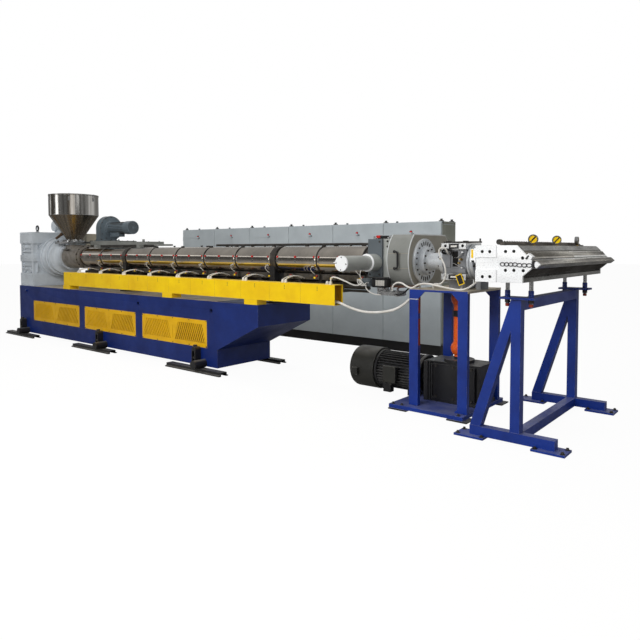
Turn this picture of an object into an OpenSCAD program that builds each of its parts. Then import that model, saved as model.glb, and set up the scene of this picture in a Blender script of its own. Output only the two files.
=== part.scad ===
// Sheet extrusion line: gearbox, hopper, barrel, screen changer, melt pump, flat die and cabinets.
// The line runs along +X from gearbox to die lip. The screw axis lies over y = 0 until place()
// centres the plan.

/* [Base frame] */
// Width of the base frame
base_w = 948; // [860:1040]
// Height of the base frame's deck over the floor
deck_z = 912; // [880:950]
// Gap between the floor and the base frame's underside
base_z = 65; // [50:80]
// Reach of the frame's nose past its foot
nose_len = 733; // [500:900]
// Height over the floor where the nose's upright face starts
nose_z = 653; // [560:720]
// Height over the floor where the sloping end plate starts
slope_z = 301; // [260:340]

/* [Louvre panels] */
// Start of the first louvre panel
panel_x = 550; // [400:700]
// Gap between two louvre panels
panel_gap = 170; // [120:240]
// Height of a louvre panel
panel_h = 354; // [300:380]
// Height over the floor of a panel's lower edge
panel_z = 304; // [270:330]
// Thickness of a louvre panel
panel_t = 12; // [8:16]
// Depth of the air space behind a louvre panel
panel_recess = 60; // [40:90]
// Slots in one half of a louvre panel
louvre_n = 16; // [10:20]

/* [Feet] */
// Diameter of a levelling screw
jack_screw_d = 30; // [24:40]
// Length of a floor channel under the base
pad_len = 1100; // [900:1200]
// Width of a floor channel
pad_w = 150; // [120:170]
// Height of a floor channel
pad_h = 50; // [40:50]
// Diameter of a damping roller on a floor channel
roller_d = 110; // [90:120]

/* [Drive gearbox] */
// Length of the gearbox along the line
gear_len = 500; // [420:560]
// Width of the gearbox across the line
gear_w = 900; // [800:940]
// Height of the gearbox over the deck
gear_h = 979; // [900:1040]
// Depth of the recesses between the gearbox's ribs
gear_recess = 30; // [20:40]
// Diameter of the round flange between gearbox and feed section
gear_flange_d = 736; // [660:780]
// Diameter of the drive motor
drive_d = 430; // [380:450]

/* [Barrel] */
// Height of the screw axis over the floor
axis_z = 1446; // [1420:1470]
// Outer diameter of the barrel
barrel_d = 236; // [200:250]
// Outer diameter of the heater covers
cover_d = 320; // [300:334]
// Gap between two heater covers
cover_gap = 8; // [5:12]
// Start of the heater covers
barrel_x = 1630; // [1580:1680]
// Length of the first and the last barrel section
section_len = 1300; // [1240:1340]
// Length of the middle barrel section
middle_len = 3176; // [3100:3250]
// Thickness of a pair of joined barrel flanges
barrel_flange_t = 88; // [70:100]
// Diameter of the barrel flanges
barrel_flange_d = 336; // [336:350]
// Diameter of the cast feed section
feed_d = 400; // [360:440]

/* [Hopper] */
// Diameter of the hopper
hopper_d = 830; // [760:900]
// Height of the hopper's straight wall
hopper_wall_h = 350; // [280:420]
// Height of the hopper's cone
hopper_cone_h = 430; // [360:480]
// Diameter of the hopper's outlet
hopper_out_d = 250; // [200:260]
// Wall thickness of the hopper
hopper_t = 5; // [3:8]
// Distance of the hopper's axis from the base's end
hopper_x = 1150; // [1120:1180]
// Diameter of the throat's bore
throat_d = 200; // [160:220]

/* [Blower] */
// Distance of the blower's scroll from the base's end
blower_x = 1690; // [1640:1760]
// Distance of the blower's axis from the screw axis
blower_y = 330; // [300:380]
// Height of the blower's axis over the floor
blower_z = 1945; // [1930:1980]
// Radius of the blower's scroll
blower_r = 215; // [190:225]
// Thickness of the blower's scroll
blower_t = 125; // [100:150]
// Diameter of the blower's motor
blower_motor_d = 190; // [160:210]
// Length of the blower's motor
blower_motor_len = 680; // [560:720]

/* [Cable tray] */
// Start of the cable tray
tray_x = 1664; // [1640:1700]
// Gap along the line between the cable tray's open end and the screen changer
tray_end_gap = 131; // [100:240]
// Height of the cable tray
tray_h = 219; // [190:230]
// Depth of the cable tray across the line
tray_depth = 143; // [120:160]
// Height of the cable tray's feet
tray_foot_h = 64; // [50:80]
// Wall thickness of the cable tray
tray_t = 5; // [4:8]

/* [Screen changer and guard] */
// Length of the screen changer along the line
changer_len = 176; // [160:190]
// Height of the screen changer's block
changer_h = 395; // [360:420]
// Half width of the screen changer's block
changer_half = 240; // [220:260]
// Length of the barrel's end between its last cover and the screen changer
barrel_end_len = 131; // [110:150]
// Length of the adapter plate between screen changer and guard
plate_len = 94; // [80:110]
// Diameter of the hydraulic cylinder
ram_d = 149; // [130:160]
// Reach of the hydraulic cylinder from the screw axis
ram_reach = 825; // [760:880]
// Length of the guard along the line
guard_len = 257; // [220:280]
// Height of the guard
guard_h = 517; // [500:530]
// Radius of the guard's bulged side
guard_r = 346; // [335:360]
// Reach of the guard past the screw axis
guard_back = 488; // [460:510]

/* [Melt pump] */
// Length of the stepped neck between guard and melt pump
neck_len = 290; // [260:320]
// Length of the pump's block along the line
pump_len = 262; // [240:275]
// Height of the pump's block
pump_h = 357; // [340:370]
// Half width of the pump's block
pump_half = 170; // [150:185]
// Thickness of the pump's end plates
pump_plate_t = 63; // [50:70]
// Length of the round flange and neck between melt pump and die
adapter_len = 512; // [470:560]

/* [Flat die] */
// Width of the die across the line
die_w = 2166; // [2000:2300]
// Thickness of the die's end plates
die_end_t = 30; // [24:40]
// Length of the die's flat top
die_top_len = 321; // [300:330]
// Reach of the lip past the flat top
die_lip_len = 178; // [160:190]
// Height of the die's top over the floor
die_top_z = 1601; // [1590:1612]
// Height of the die's underside over the floor
die_bottom_z = 1323; // [1310:1335]
// Number of adjusting bolts in the row on the die's top
die_bolt_n = 40; // [20:44]

/* [Die stand] */
// Distance between the two frames of the stand
stand_span = 1466; // [1300:1600]
// Height of the stand's top plates
stand_z = 1192; // [1160:1210]
// Width of the stand's tubes
stand_tube = 80; // [70:90]
// Length of the stand's floor beams
stand_len = 700; // [660:740]

/* [Pump stand] */
// Length of the pump stand along the line
frame_len = 614; // [600:640]
// Width of the pump stand across the line
frame_w = 752; // [700:800]
// Height of the pump stand's top over the floor
frame_z = 1184; // [1170:1196]
// Width of a leg of the pump stand
frame_leg = 100; // [80:110]
// Depth of a leg of the pump stand
frame_leg_y = 48; // [40:60]

/* [Pump drive] */
// Diameter of the cardan shaft's tube
cardan_d = 60; // [50:70]
// Diameter of the pump motor
motor_d = 450; // [420:460]
// Length of the pump motor
motor_len = 940; // [880:1000]
// Height of the pump motor's axis over the floor
motor_z = 302; // [295:320]
// Length of the pump gearbox along the line
box_len = 590; // [540:600]
// Width of the pump gearbox across the line
box_w = 380; // [340:420]
// Height of the pump gearbox
box_h = 400; // [380:420]

/* [Cabinets] */
// Number of cabinets
cabinet_n = 6; // [6:1:6]
// Width of one cabinet
cabinet_w = 1000; // [900:1030]
// Depth of the cabinets
cabinet_depth = 450; // [400:600]
// Height of the cabinets with their plinth
cabinet_h = 1978; // [1850:2050]
// Height of the cabinets' plinth
plinth_h = 150; // [120:180]
// Left end of the row of cabinets
cabinet_x = 1199; // [1100:1300]
// Distance of the cabinets' door faces from the screw axis
cabinet_y = 2351; // [2250:2450]
// Thickness of the cabinets' sheet walls
cabinet_t = 20; // [16:30]
// Thickness of a cabinet door
door_t = 24; // [20:30]

/* [Hidden] */
$fn = 48;
seat = 0.3;
bite = 1;

cover_end = barrel_x + 2 * section_len + middle_len + 2 * barrel_flange_t;
flange_1 = barrel_x + section_len;
flange_2 = flange_1 + barrel_flange_t + middle_len;

base_half = base_w / 2;
base_end = flange_2 + barrel_flange_t + 18;
base_len = base_end - nose_len;
panel_tail = 203;
panel_room = base_len - panel_x - panel_tail - 2 * panel_gap;
panel_lens = [0.36 * panel_room, 0.32 * panel_room, 0.32 * panel_room];
panel_xs = [panel_x, panel_x + panel_lens[0] + panel_gap, base_len - panel_tail - panel_lens[2]];
panel_border = 26;
louvre_lean = 24;
hole_xs = [panel_xs[2] - 101, base_len - 115];
hole_z = deck_z - 120;
hole_d = 38;
jack_xs = [218, base_len / 2 + 52, base_len - 367];
pad_back = [548, 703, 550];
pad_flare = 24;
pad_wall = 10;
pad_y = base_half + 60;
bracket_w = 90;
bracket_h = 150;
bracket_t = 14;
roller_gap = 110;

gear_top = deck_z + gear_h;
gear_ribs = [[0, 0.24], [0.455, 0.575], [0.79, 1]];
corner_w = 46;
boss_d = 190;
boss_z = gear_top + 126;
boss_x = 300;
drive_y = gear_w / 2 + drive_d / 2 + 20;
drive_z = axis_z - 20;
fan_box_h = 218;
fan_box_x = 750;
bearing_end = 1060;
bearing_neck_r = 300;
bearing_neck_len = 100;
bearing_steps = [[126, 0], [273, 28], [357, 58]];
hub_r = 230;
feed_band = 90;

throat_z = axis_z + feed_d / 2 + 6;
mount_z = 1680;
mount_t = 34;
hopper_z = mount_z + mount_t + seat;
hopper_flange_h = 36;
rim_z = hopper_z + hopper_flange_h + hopper_cone_h + hopper_wall_h;
stub_d = 46;
stub_len = 190;

under_h = 70;
under_half = 70;
under_z = axis_z - cover_d / 2 - seat - under_h;

duct_z = 1650;
duct_h = 72;
duct_x = blower_x - 190;
duct_len = 860;
duct_y0 = 110;
duct_y1 = 480;
plate_2_len = 840;
plate_3_len = 320;
scroll_z = duct_z + duct_h + seat;

tray_len = cover_end - tray_end_gap - tray_x;
tray_z = deck_z + tray_foot_h;
tray_y = -base_half;
tray_top = tray_z + tray_h;
foot_back = 1152;
foot_past = 493;
foot_xs = [tray_x - 24, base_len - foot_back, base_len + foot_past];
foot_len = 222;
foot_depth = 160;
gland_n = 9;
gland_first = 405;
gland_last = 109;
gland_pitch = (tray_len - gland_first - gland_last) / (gland_n - 1);
gland_y = tray_y + tray_depth / 2;
gland_gap = 46;
gland_h = 34;
lead_d = 12;
tray_cover_n = 12;

changer_x = cover_end + barrel_end_len;
changer_z0 = 1285;
changer_top = changer_z0 + changer_h;
changer_foot_z = changer_z0 - 115;
plate_x = changer_x + changer_len;
plate_half = changer_half - 30;
guard_x = plate_x + plate_len;
guard_end = guard_x + guard_len;
guard_z = axis_z + 18;
guard_y = 50;
guard_near = guard_r - guard_y;
guard_grip = 85;
fitting_z = changer_foot_z - 72;
fitting_t = 52;

pump_x = guard_end + neck_len;
pump_end = pump_x + pump_len;
pump_mid = pump_x + pump_len / 2;
pump_z0 = axis_z + 7 - pump_h / 2;
pump_top = pump_z0 + pump_h;
big_flange_d = 462;
slot_n = 5;

die_x = pump_end + adapter_len;
die_front = die_top_len + die_lip_len;
lip_z = die_bottom_z + 136;
die_half = die_w / 2;
die_step = 8;
slope_x = die_top_len + 111;
slope_hi = lip_z + 31;
slope_lo = lip_z - 29;
foot_x = die_top_len + 45;
gauge_x = die_top_len - 80;
gauge_d = 96;
gauge_t = 28;

stand_y = stand_span / 2;
stand_x = die_x - 180;
stand_post_x = die_x + 245;
stand_plate_t = 18;
stand_top = stand_z - stand_plate_t;
beam_z = 18;
leg_w = 92;
leg_apex = 916;
screw_xs = [die_x + 120, die_x + 310];
screw_d = 30;
nut_d = 56;

base_plate_t = 36;
base_plate_z = 12;
base_plate_top = base_plate_z + base_plate_t;
base_plate_out = 174;
frame_x = pump_mid - frame_len / 2 - 56;
gusset = 70;
gusset_t = 12;
frame_plate_t = 20;
pedestal_half = 80;
box_x = frame_x + 12;
box_y0 = -100;
motor_x1 = box_x - seat;
motor_y = 70;
cowl_len = 460;
cardan_x = pump_mid - 41;
cardan_y = 60;
box_top = base_plate_top + box_h;
box_flange_d = 300;
box_flange_h = 30;
spigot_h = 52;
joint_h = 110;
cardan_z0 = box_top + spigot_h + seat;
cardan_z1 = frame_z - frame_plate_t - seat;

cab_len = cabinet_n * cabinet_w;
cab_body_y = cabinet_y + door_t + seat;
door_gap = 8;
door_z0 = plinth_h + 6;
door_h = cabinet_h - plinth_h - 12;
pin_d = 9;
pin_h = 70;
side_recess = 6;

x_min = jack_xs[0] - pad_back[0];
x_max = stand_x + stand_len + 90;
y_min = -die_half;
y_max = cabinet_y + cabinet_depth;
x_mid = (x_min + x_max) / 2;
y_mid = (y_min + y_max) / 2;

tray_cable_d = 28;
tray_cable = [for (p = [[-222, 0, 24], [-172, 0, 30], [-122, 0, 26], [-42, 0, 2], [43, 1, -22], [131, 4, -40],
    [232, 9, -49], [334, 16, -45], [418, 22, -35], [494, 30, -20], [558, 38, 2], [615, 45, 34], [663, 50, 69],
    [706, 53, 108]]) [cover_end + p[0], tray_y + 74 + p[1], tray_z + p[2]]];
die_cable_d = 18;
die_cable = [for (p = [[-278, 26, -31.5], [-271, 23, 12], [-245, 18, 38], [-200, 10, 54], [-150, 2, 50],
    [-105, -4, 30], [-60, -8, 12], [-22, -10, 12], [40, -8, 44], [132, -8, 56], [238, -8, 42], [359, -8, 22],
    [476, -8, 11], [530, -14, 20], [600, -36, 50], [680, -80, 100], [760, -140, 162], [850, -210, 222],
    [915, -250, 246], [972, -270, 250]]) [pump_x - 200 + p[0], -322 + p[1], frame_z + p[2]]];
pump_lead_d = 16;
pump_lead = [for (p = [[-62, -52, 1.8], [-60, -53, 26], [-46, -66, 46], [-10, -90, 52], [38, -104, 54],
    [75, -106, 82], [94, -106, 130], [98, -106, 175], [88, -106, 230], [64, -106, 280], [42, -106, 320],
    [28, -106, 362], [36, -104, 392], [62, -98, 402], [84, -80, 388], [88, -50, 356], [86, -26, 344],
    [84, -5.4, 342]]) [pump_x + p[0], -pump_half + 12 + p[1], frame_z + p[2]]];
gland_cable = [for (p = [[0, 0, 0], [3, 0, 26], [22, 2, 42], [56, 6, 42], [110, 12, 28], [185, 34, -2],
    [238, 66, -30], [270, 96, -40], [298, 118, -30], [307, 131, -18], [308, 140.6, -15]])
    [tray_x + tray_len - gland_last + p[0], gland_y + p[1], tray_top + gland_h + 1 + p[2]]];

navy = [0.07, 0.14, 0.42];
yellow = [0.95, 0.8, 0.02];
cast_grey = [0.72, 0.73, 0.72];
steel = [0.72, 0.73, 0.75];
dark = [0.12, 0.13, 0.14];
warm_grey = [0.66, 0.67, 0.65];
blue_grey = [0.2, 0.25, 0.3];
orange = [0.95, 0.35, 0.05];
beige = [0.62, 0.58, 0.45];

// Moves the line so that the middle of its plan is at the origin.
module place() {
    translate([-x_mid, -y_mid, 0]) children();
}

// A box from one corner to the other.
module slab(p, q) {
    translate(p) cube(q - p);
}

// A cylinder along X with its start at p.
module rod_x(p, d, len) {
    translate(p) rotate([0, 90, 0]) cylinder(d = d, h = len);
}

// A cylinder along Y with its start at p.
module rod_y(p, d, len) {
    translate(p) rotate([-90, 0, 0]) cylinder(d = d, h = len);
}

// A cylinder along Z with its start at p.
module rod_z(p, d, len) {
    translate(p) cylinder(d = d, h = len);
}

// An outline in X and Z, carried along Y from y0 to y1.
module side_profile(points, y0, y1) {
    translate([0, y1, 0]) rotate([90, 0, 0]) linear_extrude(y1 - y0) polygon(points);
}

// A round body along X: pairs of distance and radius, turned about the axis through p.
module turned_x(p, outline) {
    translate(p) rotate([0, 90, 0]) rotate_extrude() polygon([for (q = outline) [q[1], q[0]]]);
}

// The welded box frame under the barrel, with recesses behind the louvre panels.
module base_frame() {
    outline = [[0, base_z], [base_len, base_z], [base_len, slope_z], [base_end, nose_z], [base_end, deck_z],
        [0, deck_z]];
    place() color(navy) difference() {
        side_profile(outline, -base_half, base_half);
        for (i = [0:2], s = [-1, 1]) {
            x = panel_xs[i];
            y = s < 0 ? -base_half : base_half - panel_t - panel_recess;
            slab([x + panel_border, y - 1, panel_z + panel_border], [x + panel_lens[i] - panel_border,
                y + panel_t + panel_recess + 1, panel_z + panel_h - panel_border]);
            slab([x, s * base_half - (s < 0 ? 1 : panel_t), panel_z],
                [x + panel_lens[i], s * base_half + (s < 0 ? panel_t : 1), panel_z + panel_h]);
        }
        for (x = hole_xs, s = [-1, 1]) rod_y([x, s < 0 ? -base_half - 1 : base_half - 60, hole_z], hole_d, 61);
    }
}

// One half of a panel's slots: slanted cuts that end on a trapezoid.
module louvre_slots(w, h) {
    pitch = w / louvre_n;
    intersection() {
        polygon([[0, 0], [w, 0], [w * 0.86, h], [w * 0.1, h]]);
        for (i = [-4:louvre_n + 4]) translate([i * pitch, h / 2]) rotate(louvre_lean) square([pitch * 0.42,
            h * 1.4], center = true);
    }
}

// One louvre panel, drawn flat with its lower left corner at the origin.
module louvre_sheet(len) {
    half = len / 2 - panel_border - 32;
    h = panel_h - 2 * panel_border - 60;
    z = panel_border + 30;
    difference() {
        square([len, panel_h]);
        translate([panel_border + 6, z]) louvre_slots(half, h);
        translate([len - panel_border - 6, z]) mirror([1, 0]) louvre_slots(half, h);
        translate([len / 2 - 3, z + 10]) square([6, h - 60]);
    }
}

// Three louvre panels on each side of the base frame.
module louvre_panels() {
    place() color(yellow) for (i = [0:2], y = [-base_half + panel_t - seat, base_half])
        translate([panel_xs[i], y, panel_z]) rotate([90, 0, 0]) linear_extrude(panel_t - seat)
            louvre_sheet(panel_lens[i]);
}

// A bracket on the base frame's side with its levelling screw, and a damping roller beside it.
module jack(s) {
    y0 = min(s * base_half, s * (base_half + bracket_w));
    z0 = base_z + 60;
    translate([0, y0, 0]) difference() {
        union() {
            slab([-40, 0, z0], [40, bracket_w, z0 + bracket_h]);
            rod_y([0, 0, z0 + bracket_h], 80, bracket_w);
        }
        slab([-40 + bracket_t, -1, z0 - 1], [40 - bracket_t, bracket_w + 1, z0 + bracket_h - bracket_t]);
    }
    rod_z([0, s * pad_y, pad_h], jack_screw_d, base_z + bracket_h + 110 - pad_h);
    translate([0, s * pad_y, z0 + bracket_h + 40]) cylinder(d = jack_screw_d * 1.8, h = 24, $fn = 6);
    rod_z([0, s * pad_y, pad_h], jack_screw_d * 2, 12);
    rod_y([roller_gap, s < 0 ? -base_half - 190 : base_half, pad_h + roller_d / 2], roller_d, 190);
}

// Levelling screws in their brackets, damping rollers and the floor channels under them.
module levelling_jacks() {
    place() color(dark) for (i = [0:2], s = [-1, 1]) {
        translate([jack_xs[i], 0, 0]) jack(s);
        translate([jack_xs[i] - pad_back[i], s * pad_y, 0]) floor_channel();
    }
}

// A floor channel with flared sides, open underneath.
module floor_channel() {
    w = pad_w / 2;
    outline = [[-w, 0], [-w, pad_wall], [-w + pad_flare, pad_wall * 2], [-w + pad_flare, pad_h],
        [w - pad_flare, pad_h], [w - pad_flare, pad_wall * 2], [w, pad_wall], [w, 0]];
    difference() {
        rotate([90, 0, 90]) linear_extrude(pad_len) polygon(outline);
        slab([-1, -w + pad_flare + pad_wall, -1], [pad_len + 1, w - pad_flare - pad_wall, pad_h - pad_wall]);
    }
}

// The gearbox's cast housing: ribs with recesses between them, corner columns, a boss and a lifting eye.
module gearbox_housing() {
    y = gear_w / 2;
    place() color(cast_grey) {
        slab([gear_recess, -y + gear_recess, deck_z], [gear_len - gear_recess, y - gear_recess, gear_top]);
        for (r = gear_ribs) slab([0, -y, deck_z + r[0] * gear_h], [gear_len, y, deck_z + r[1] * gear_h]);
        for (x = [corner_w / 2, gear_len - 1.5 * corner_w], s = [-1, 1])
            slab([x, s < 0 ? -y + 8 : y - gear_recess
            - 1, deck_z], [x + corner_w, s < 0 ? -y + gear_recess + 1 : y - 8, gear_top]);
        rod_x([gear_len - gear_recess - 1, 0, axis_z], gear_flange_d, gear_recess + 1);
        rod_y([boss_x, 40, boss_z], boss_d, 460);
        for (b = [90, 360]) slab([boss_x - boss_d / 3, b, gear_top - 1], [boss_x + boss_d / 3, b + 60, boss_z]);
        translate([gear_len * 0.76, -300, gear_top]) lifting_eye(42);
    }
}

// A lifting eye that stands on the origin.
module lifting_eye(r) {
    rod_z([0, 0, -1], r, 24);
    translate([0, 0, 16 + r]) rotate([90, 0, 0]) rotate_extrude() translate([r * 0.72, 0]) circle(d = r * 0.42);
}

// The drive motor on the gearbox's far side, with its fan box on top.
module drive_motor() {
    y0 = gear_w / 2 + seat;
    place() color(beige) {
        rod_x([60, drive_y, drive_z], drive_d, gear_len + 140);
        slab([90, y0, drive_z - 120], [gear_len - 60, drive_y, drive_z + 120]);
        slab([120, y0, gear_top - 18 - fan_box_h], [fan_box_x, drive_y + 130, gear_top - 18]);
        slab([180, drive_y - 110, drive_z], [gear_len + 120, drive_y + 110, gear_top - fan_box_h]);
    }
}

// The stepped round flange that joins the gearbox to the feed section.
module bearing_flange() {
    r = gear_flange_d / 2;
    s = bearing_steps;
    place() color(cast_grey) turned_x([gear_len + seat, 0, axis_z], [[0, 0],
        [0, bearing_neck_r], [bearing_neck_len, bearing_neck_r], [bearing_neck_len, r], [s[0][0], r],
        [s[0][0], r - s[1][1]], [s[1][0], r - s[1][1]], [s[1][0], r - s[2][1]], [s[2][0], r - s[2][1]],
        [s[2][0] + 24, hub_r], [bearing_end - gear_len - seat, hub_r], [bearing_end - gear_len - seat, 0]]);
}

// The cast feed section with the seat for the hopper's throat.
module feed_section() {
    f = feed_d / 2;
    len = barrel_x - bearing_end - 2 * seat;
    x0 = bearing_end + seat;
    place() color(dark) difference() {
        union() {
            turned_x([x0, 0, axis_z], [[0, 0], [0, f], [len - feed_band, f], [len - feed_band, f - 26],
                [len - 20, f - 26], [len - 20, f - 10], [len, f - 10], [len, 0]]);
            slab([hopper_x + 10, -150, axis_z], [hopper_x + 190, 150, throat_z]);
            slab([x0, -120, axis_z], [hopper_x + 20, 150, throat_z]);
        }
        rod_z([hopper_x, 0, axis_z + 60], throat_d, 300);
    }
}

// The square throat between feed section and hopper, with its mounting plate.
module hopper_throat() {
    place() color(steel) difference() {
        union() {
            slab([bearing_end + seat, -120, throat_z + seat], [hopper_x + 150, 130, mount_z]);
            slab([hopper_x - 240, -240, mount_z], [hopper_x + 240, 240, mount_z + mount_t]);
        }
        rod_z([hopper_x, 0, throat_z - 1], throat_d, mount_z + mount_t - throat_z + 2);
    }
}

// The hopper's spun shell with its flange and rolled rim, and a short drain pipe low on the cone.
module hopper() {
    ro = hopper_d / 2;
    ri = ro - hopper_t;
    oi = hopper_out_d / 2;
    oo = oi + hopper_t;
    z1 = hopper_flange_h;
    z2 = z1 + hopper_cone_h;
    z3 = z2 + hopper_wall_h;
    place() color(steel) translate([hopper_x, 0, hopper_z]) difference() {
        union() {
            rotate_extrude($fn = 96) polygon([[0, 0], [oo + 40, 0], [oo + 40, 20], [oo, 20], [oo, z1], [ro, z2],
                [ro, z3 - 12], [ro + 10, z3 - 12], [ro + 10, z3], [0, z3]]);
            translate([-140, -115, z1 + 139]) rotate([0, -129, 39.5]) cylinder(d = stub_d, h = stub_len);
        }
        rotate_extrude($fn = 96) polygon([[0, -1], [oi, -1], [oi, z1], [ri, z2], [ri, z3 + 1], [0, z3 + 1]]);
    }
}

// The hopper's flat lid with a turned edge.
module hopper_lid() {
    r = hopper_d / 2 + 12;
    place() color(steel) translate([hopper_x, 0, rim_z + seat])
        rotate_extrude($fn = 96) polygon([[0, 0], [r, 0], [r, 10], [r - 30, 16], [0, 22]]);
}

// The barrel: three joined sections with their flanges.
module barrel() {
    place() color(dark) {
        rod_x([barrel_x, 0, axis_z], barrel_d, changer_x - barrel_x);
        for (x = [flange_1, flange_2]) rod_x([x, 0, axis_z], barrel_flange_d, barrel_flange_t);
        rod_x([cover_end + cover_gap, 0, axis_z], cover_d - 20, barrel_end_len - cover_gap);
    }
}

// A row of round covers over one barrel section.
module cover_row(x0, len, count) {
    pitch = len / count;
    for (i = [0:count - 1]) translate([x0 + i * pitch + cover_gap / 2, 0, axis_z]) rotate([0, 90, 0])
        difference() {
            cylinder(d = cover_d, h = pitch - cover_gap);
            translate([0, 0, -1]) cylinder(d = barrel_d + 2 * seat, h = pitch);
        }
}

// Round heater covers, two on each end section and five on the middle one.
module heater_covers() {
    place() color(steel) {
        cover_row(barrel_x, section_len, 2);
        cover_row(flange_1 + barrel_flange_t, middle_len, 5);
        cover_row(flange_2 + barrel_flange_t, section_len, 2);
    }
}

// Posts that carry the barrel at its flanges.
module barrel_supports() {
    w = barrel_flange_t / 2 - 4;
    place() color(dark) for (x = [flange_1 + barrel_flange_t / 2, flange_2 + barrel_flange_t / 2 - 20]) {
        difference() {
            slab([x - w, -150, deck_z], [x + w, 150, axis_z - 60]);
            rod_x([x - w - 1, 0, axis_z], barrel_flange_d + 2 * seat, 2 * w + 2);
        }
        slab([x - w - 30, -190, deck_z], [x + w + 20, 190, deck_z + 20]);
    }
}

// The wiring channel that hangs under the barrel.
module under_channel() {
    parts = [[barrel_x + 120, flange_1 - 60], [flange_1 + barrel_flange_t + 60, flange_2 - 60],
        [flange_2 + barrel_flange_t + 60, cover_end - 40]];
    place() color(dark) for (p = parts)
        slab([p[0], -under_half, under_z], [p[1], under_half, under_z + under_h]);
}

// The air duct along the barrel's far side, with saddles that rest on the heater covers.
module blower_duct() {
    x1 = duct_x + duct_len;
    x2 = x1 + plate_2_len;
    z1 = duct_z + duct_h;
    place() color(blue_grey) difference() {
        union() {
            slab([duct_x, duct_y0, duct_z], [x1, duct_y1, z1]);
            slab([x1, duct_y0, duct_z - 20], [x2, duct_y1 - 40, z1 - 22]);
            slab([x2, duct_y0, duct_z - 20], [x2 + plate_3_len, duct_y1 - 100, duct_z + 8]);
            rod_z([x2 - 200, duct_y0 + 80, z1 - 23], 40, 40);
            for (x = [duct_x + 270, flange_1 + barrel_flange_t + 40])
                slab([x, 20, axis_z + 60], [x + 80, duct_y0 + 60, duct_z]);
        }
        rod_x([barrel_x, 0, axis_z], cover_d + 2 * seat, cover_end - barrel_x);
    }
}

// The blower: a scroll with a straight outlet on its near side, its foot flange and its motor.
module blower_housing() {
    x1 = blower_x + blower_t;
    end_len = 170;
    place() color(blue_grey) {
        rod_x([blower_x, blower_y, blower_z], 2 * blower_r, blower_t);
        slab([blower_x, blower_y - blower_r, scroll_z], [x1, blower_y + blower_r / 2, blower_z]);
        slab([blower_x - 36, blower_y - blower_r, scroll_z], [x1 + 36, blower_y + blower_r / 2 + 36,
            scroll_z + 18]);
        rod_x([x1, blower_y, blower_z], blower_motor_d + 60, 26);
        rod_x([x1, blower_y, blower_z], blower_motor_d, blower_motor_len - end_len);
        rod_x([x1 + blower_motor_len - end_len, blower_y, blower_z], blower_motor_d + 34, end_len);
        slab([x1 + 60, blower_y - 60, blower_z - 150], [x1 + 330, blower_y + 60, blower_z]);
    }
}

// The cable tray: a channel open toward the line's near side, with its right end open.
module cable_tray() {
    y1 = tray_y + tray_depth;
    x1 = tray_x + tray_len;
    place() color(yellow) {
        slab([tray_x, tray_y + tray_t, tray_z], [x1, y1, tray_z + tray_t]);
        slab([tray_x, tray_y + tray_t, tray_top - tray_t], [x1, y1, tray_top]);
        slab([tray_x, y1 - tray_t, tray_z], [x1, y1, tray_top]);
        slab([tray_x, tray_y + tray_t, tray_z], [tray_x + tray_t, y1, tray_top]);
    }
}

// The removable front covers of the cable tray.
module tray_covers() {
    pitch = tray_len / tray_cover_n;
    place() color(yellow) for (i = [0:tray_cover_n - 1]) slab([tray_x + i * pitch + 1, tray_y, tray_z],
        [tray_x + (i + 1) * pitch - 1, tray_y + tray_t - seat, tray_top]);
}

// The feet under the cable tray.
module tray_feet() {
    place() color(yellow) for (x = foot_xs) slab([x, tray_y, deck_z], [x + foot_len, tray_y + foot_depth,
        tray_z - seat]);
}

// Pairs of cable glands on the tray, with leads that bend over to the wiring channel under the barrel.
module gland_leads() {
    reach = -under_half - seat - lead_d / 4 - gland_y;
    r = 1.25 * reach;
    half = asin(reach / 2 / r);
    z = tray_top + gland_h;
    place() color("white") for (i = [0:gland_n - 1], d = [0, gland_gap]) translate([tray_x + gland_first
        + i * gland_pitch - d, 0, 0]) {
        rod_z([0, gland_y, tray_top], 28, gland_h);
        if (i < gland_n - 1) translate([0, gland_y + reach / 2, z - r * cos(half)]) rotate([0, -90, 0])
            rotate(-half) rotate_extrude(angle = 2 * half) translate([r, 0]) circle(d = lead_d);
    }
}

// The screen changer's block with its foot, and the adapter plate that follows it.
module screen_changer() {
    x0 = changer_x + seat;
    place() color(blue_grey) {
        slab([x0, -changer_half, changer_z0], [plate_x, changer_half, changer_top]);
        slab([x0 + 30, -changer_half + 40, changer_foot_z], [plate_x - 20, changer_half - 60, changer_z0]);
        slab([plate_x, -plate_half, changer_foot_z + 20], [guard_x - seat, plate_half, changer_top]);
    }
}

// The hydraulic cylinder that moves the screen, with its end flange and the bright collar.
module hydraulic_cylinder() {
    x = changer_x + changer_len / 2;
    collar = 151;
    place() color(dark) {
        rod_y([x, -ram_reach, axis_z - 12], ram_d + 6, 18);
        rod_y([x, -ram_reach, axis_z - 12], ram_d, ram_reach - changer_half - seat);
        rod_y([x, -changer_half - collar, axis_z - 12], ram_d + 32, collar - seat);
    }
}

// The instrument box beside the screen changer, sensors on its top, and the plate with hose fittings.
module instruments() {
    y = -plate_half - seat;
    rim_z = changer_z0 - 9;
    place() color(dark) {
        slab([plate_x - 55, y - 130, changer_foot_z + 14], [plate_x + 128, y - 58, rim_z + 1]);
        slab([plate_x - 55, y - 59, changer_foot_z + 14], [plate_x + 80, y, rim_z + 1]);
        slab([plate_x - 127, y - 136, rim_z], [guard_x - 1, y, rim_z + 8]);
        slab([changer_x + 42, -changer_half + 30, changer_top + seat], [plate_x + 85, -changer_half + 76,
            changer_top + 36]);
        slab([changer_x - 83, -changer_half - 20, changer_foot_z + 10], [changer_x + 57, -changer_half + 40
            - seat, changer_foot_z + 95]);
        slab([plate_x + 13, y - 120, fitting_z], [plate_x + 245, -changer_half + 80, fitting_z + fitting_t]);
        slab([plate_x - 90, -changer_half + 50, fitting_z], [plate_x + 40, -changer_half + 80, changer_foot_z
            - seat]);
        for (x = [50, 130, 210]) rod_z([plate_x + x, y - 60, fitting_z + fitting_t - 1], 34, 22);
    }
}

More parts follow.
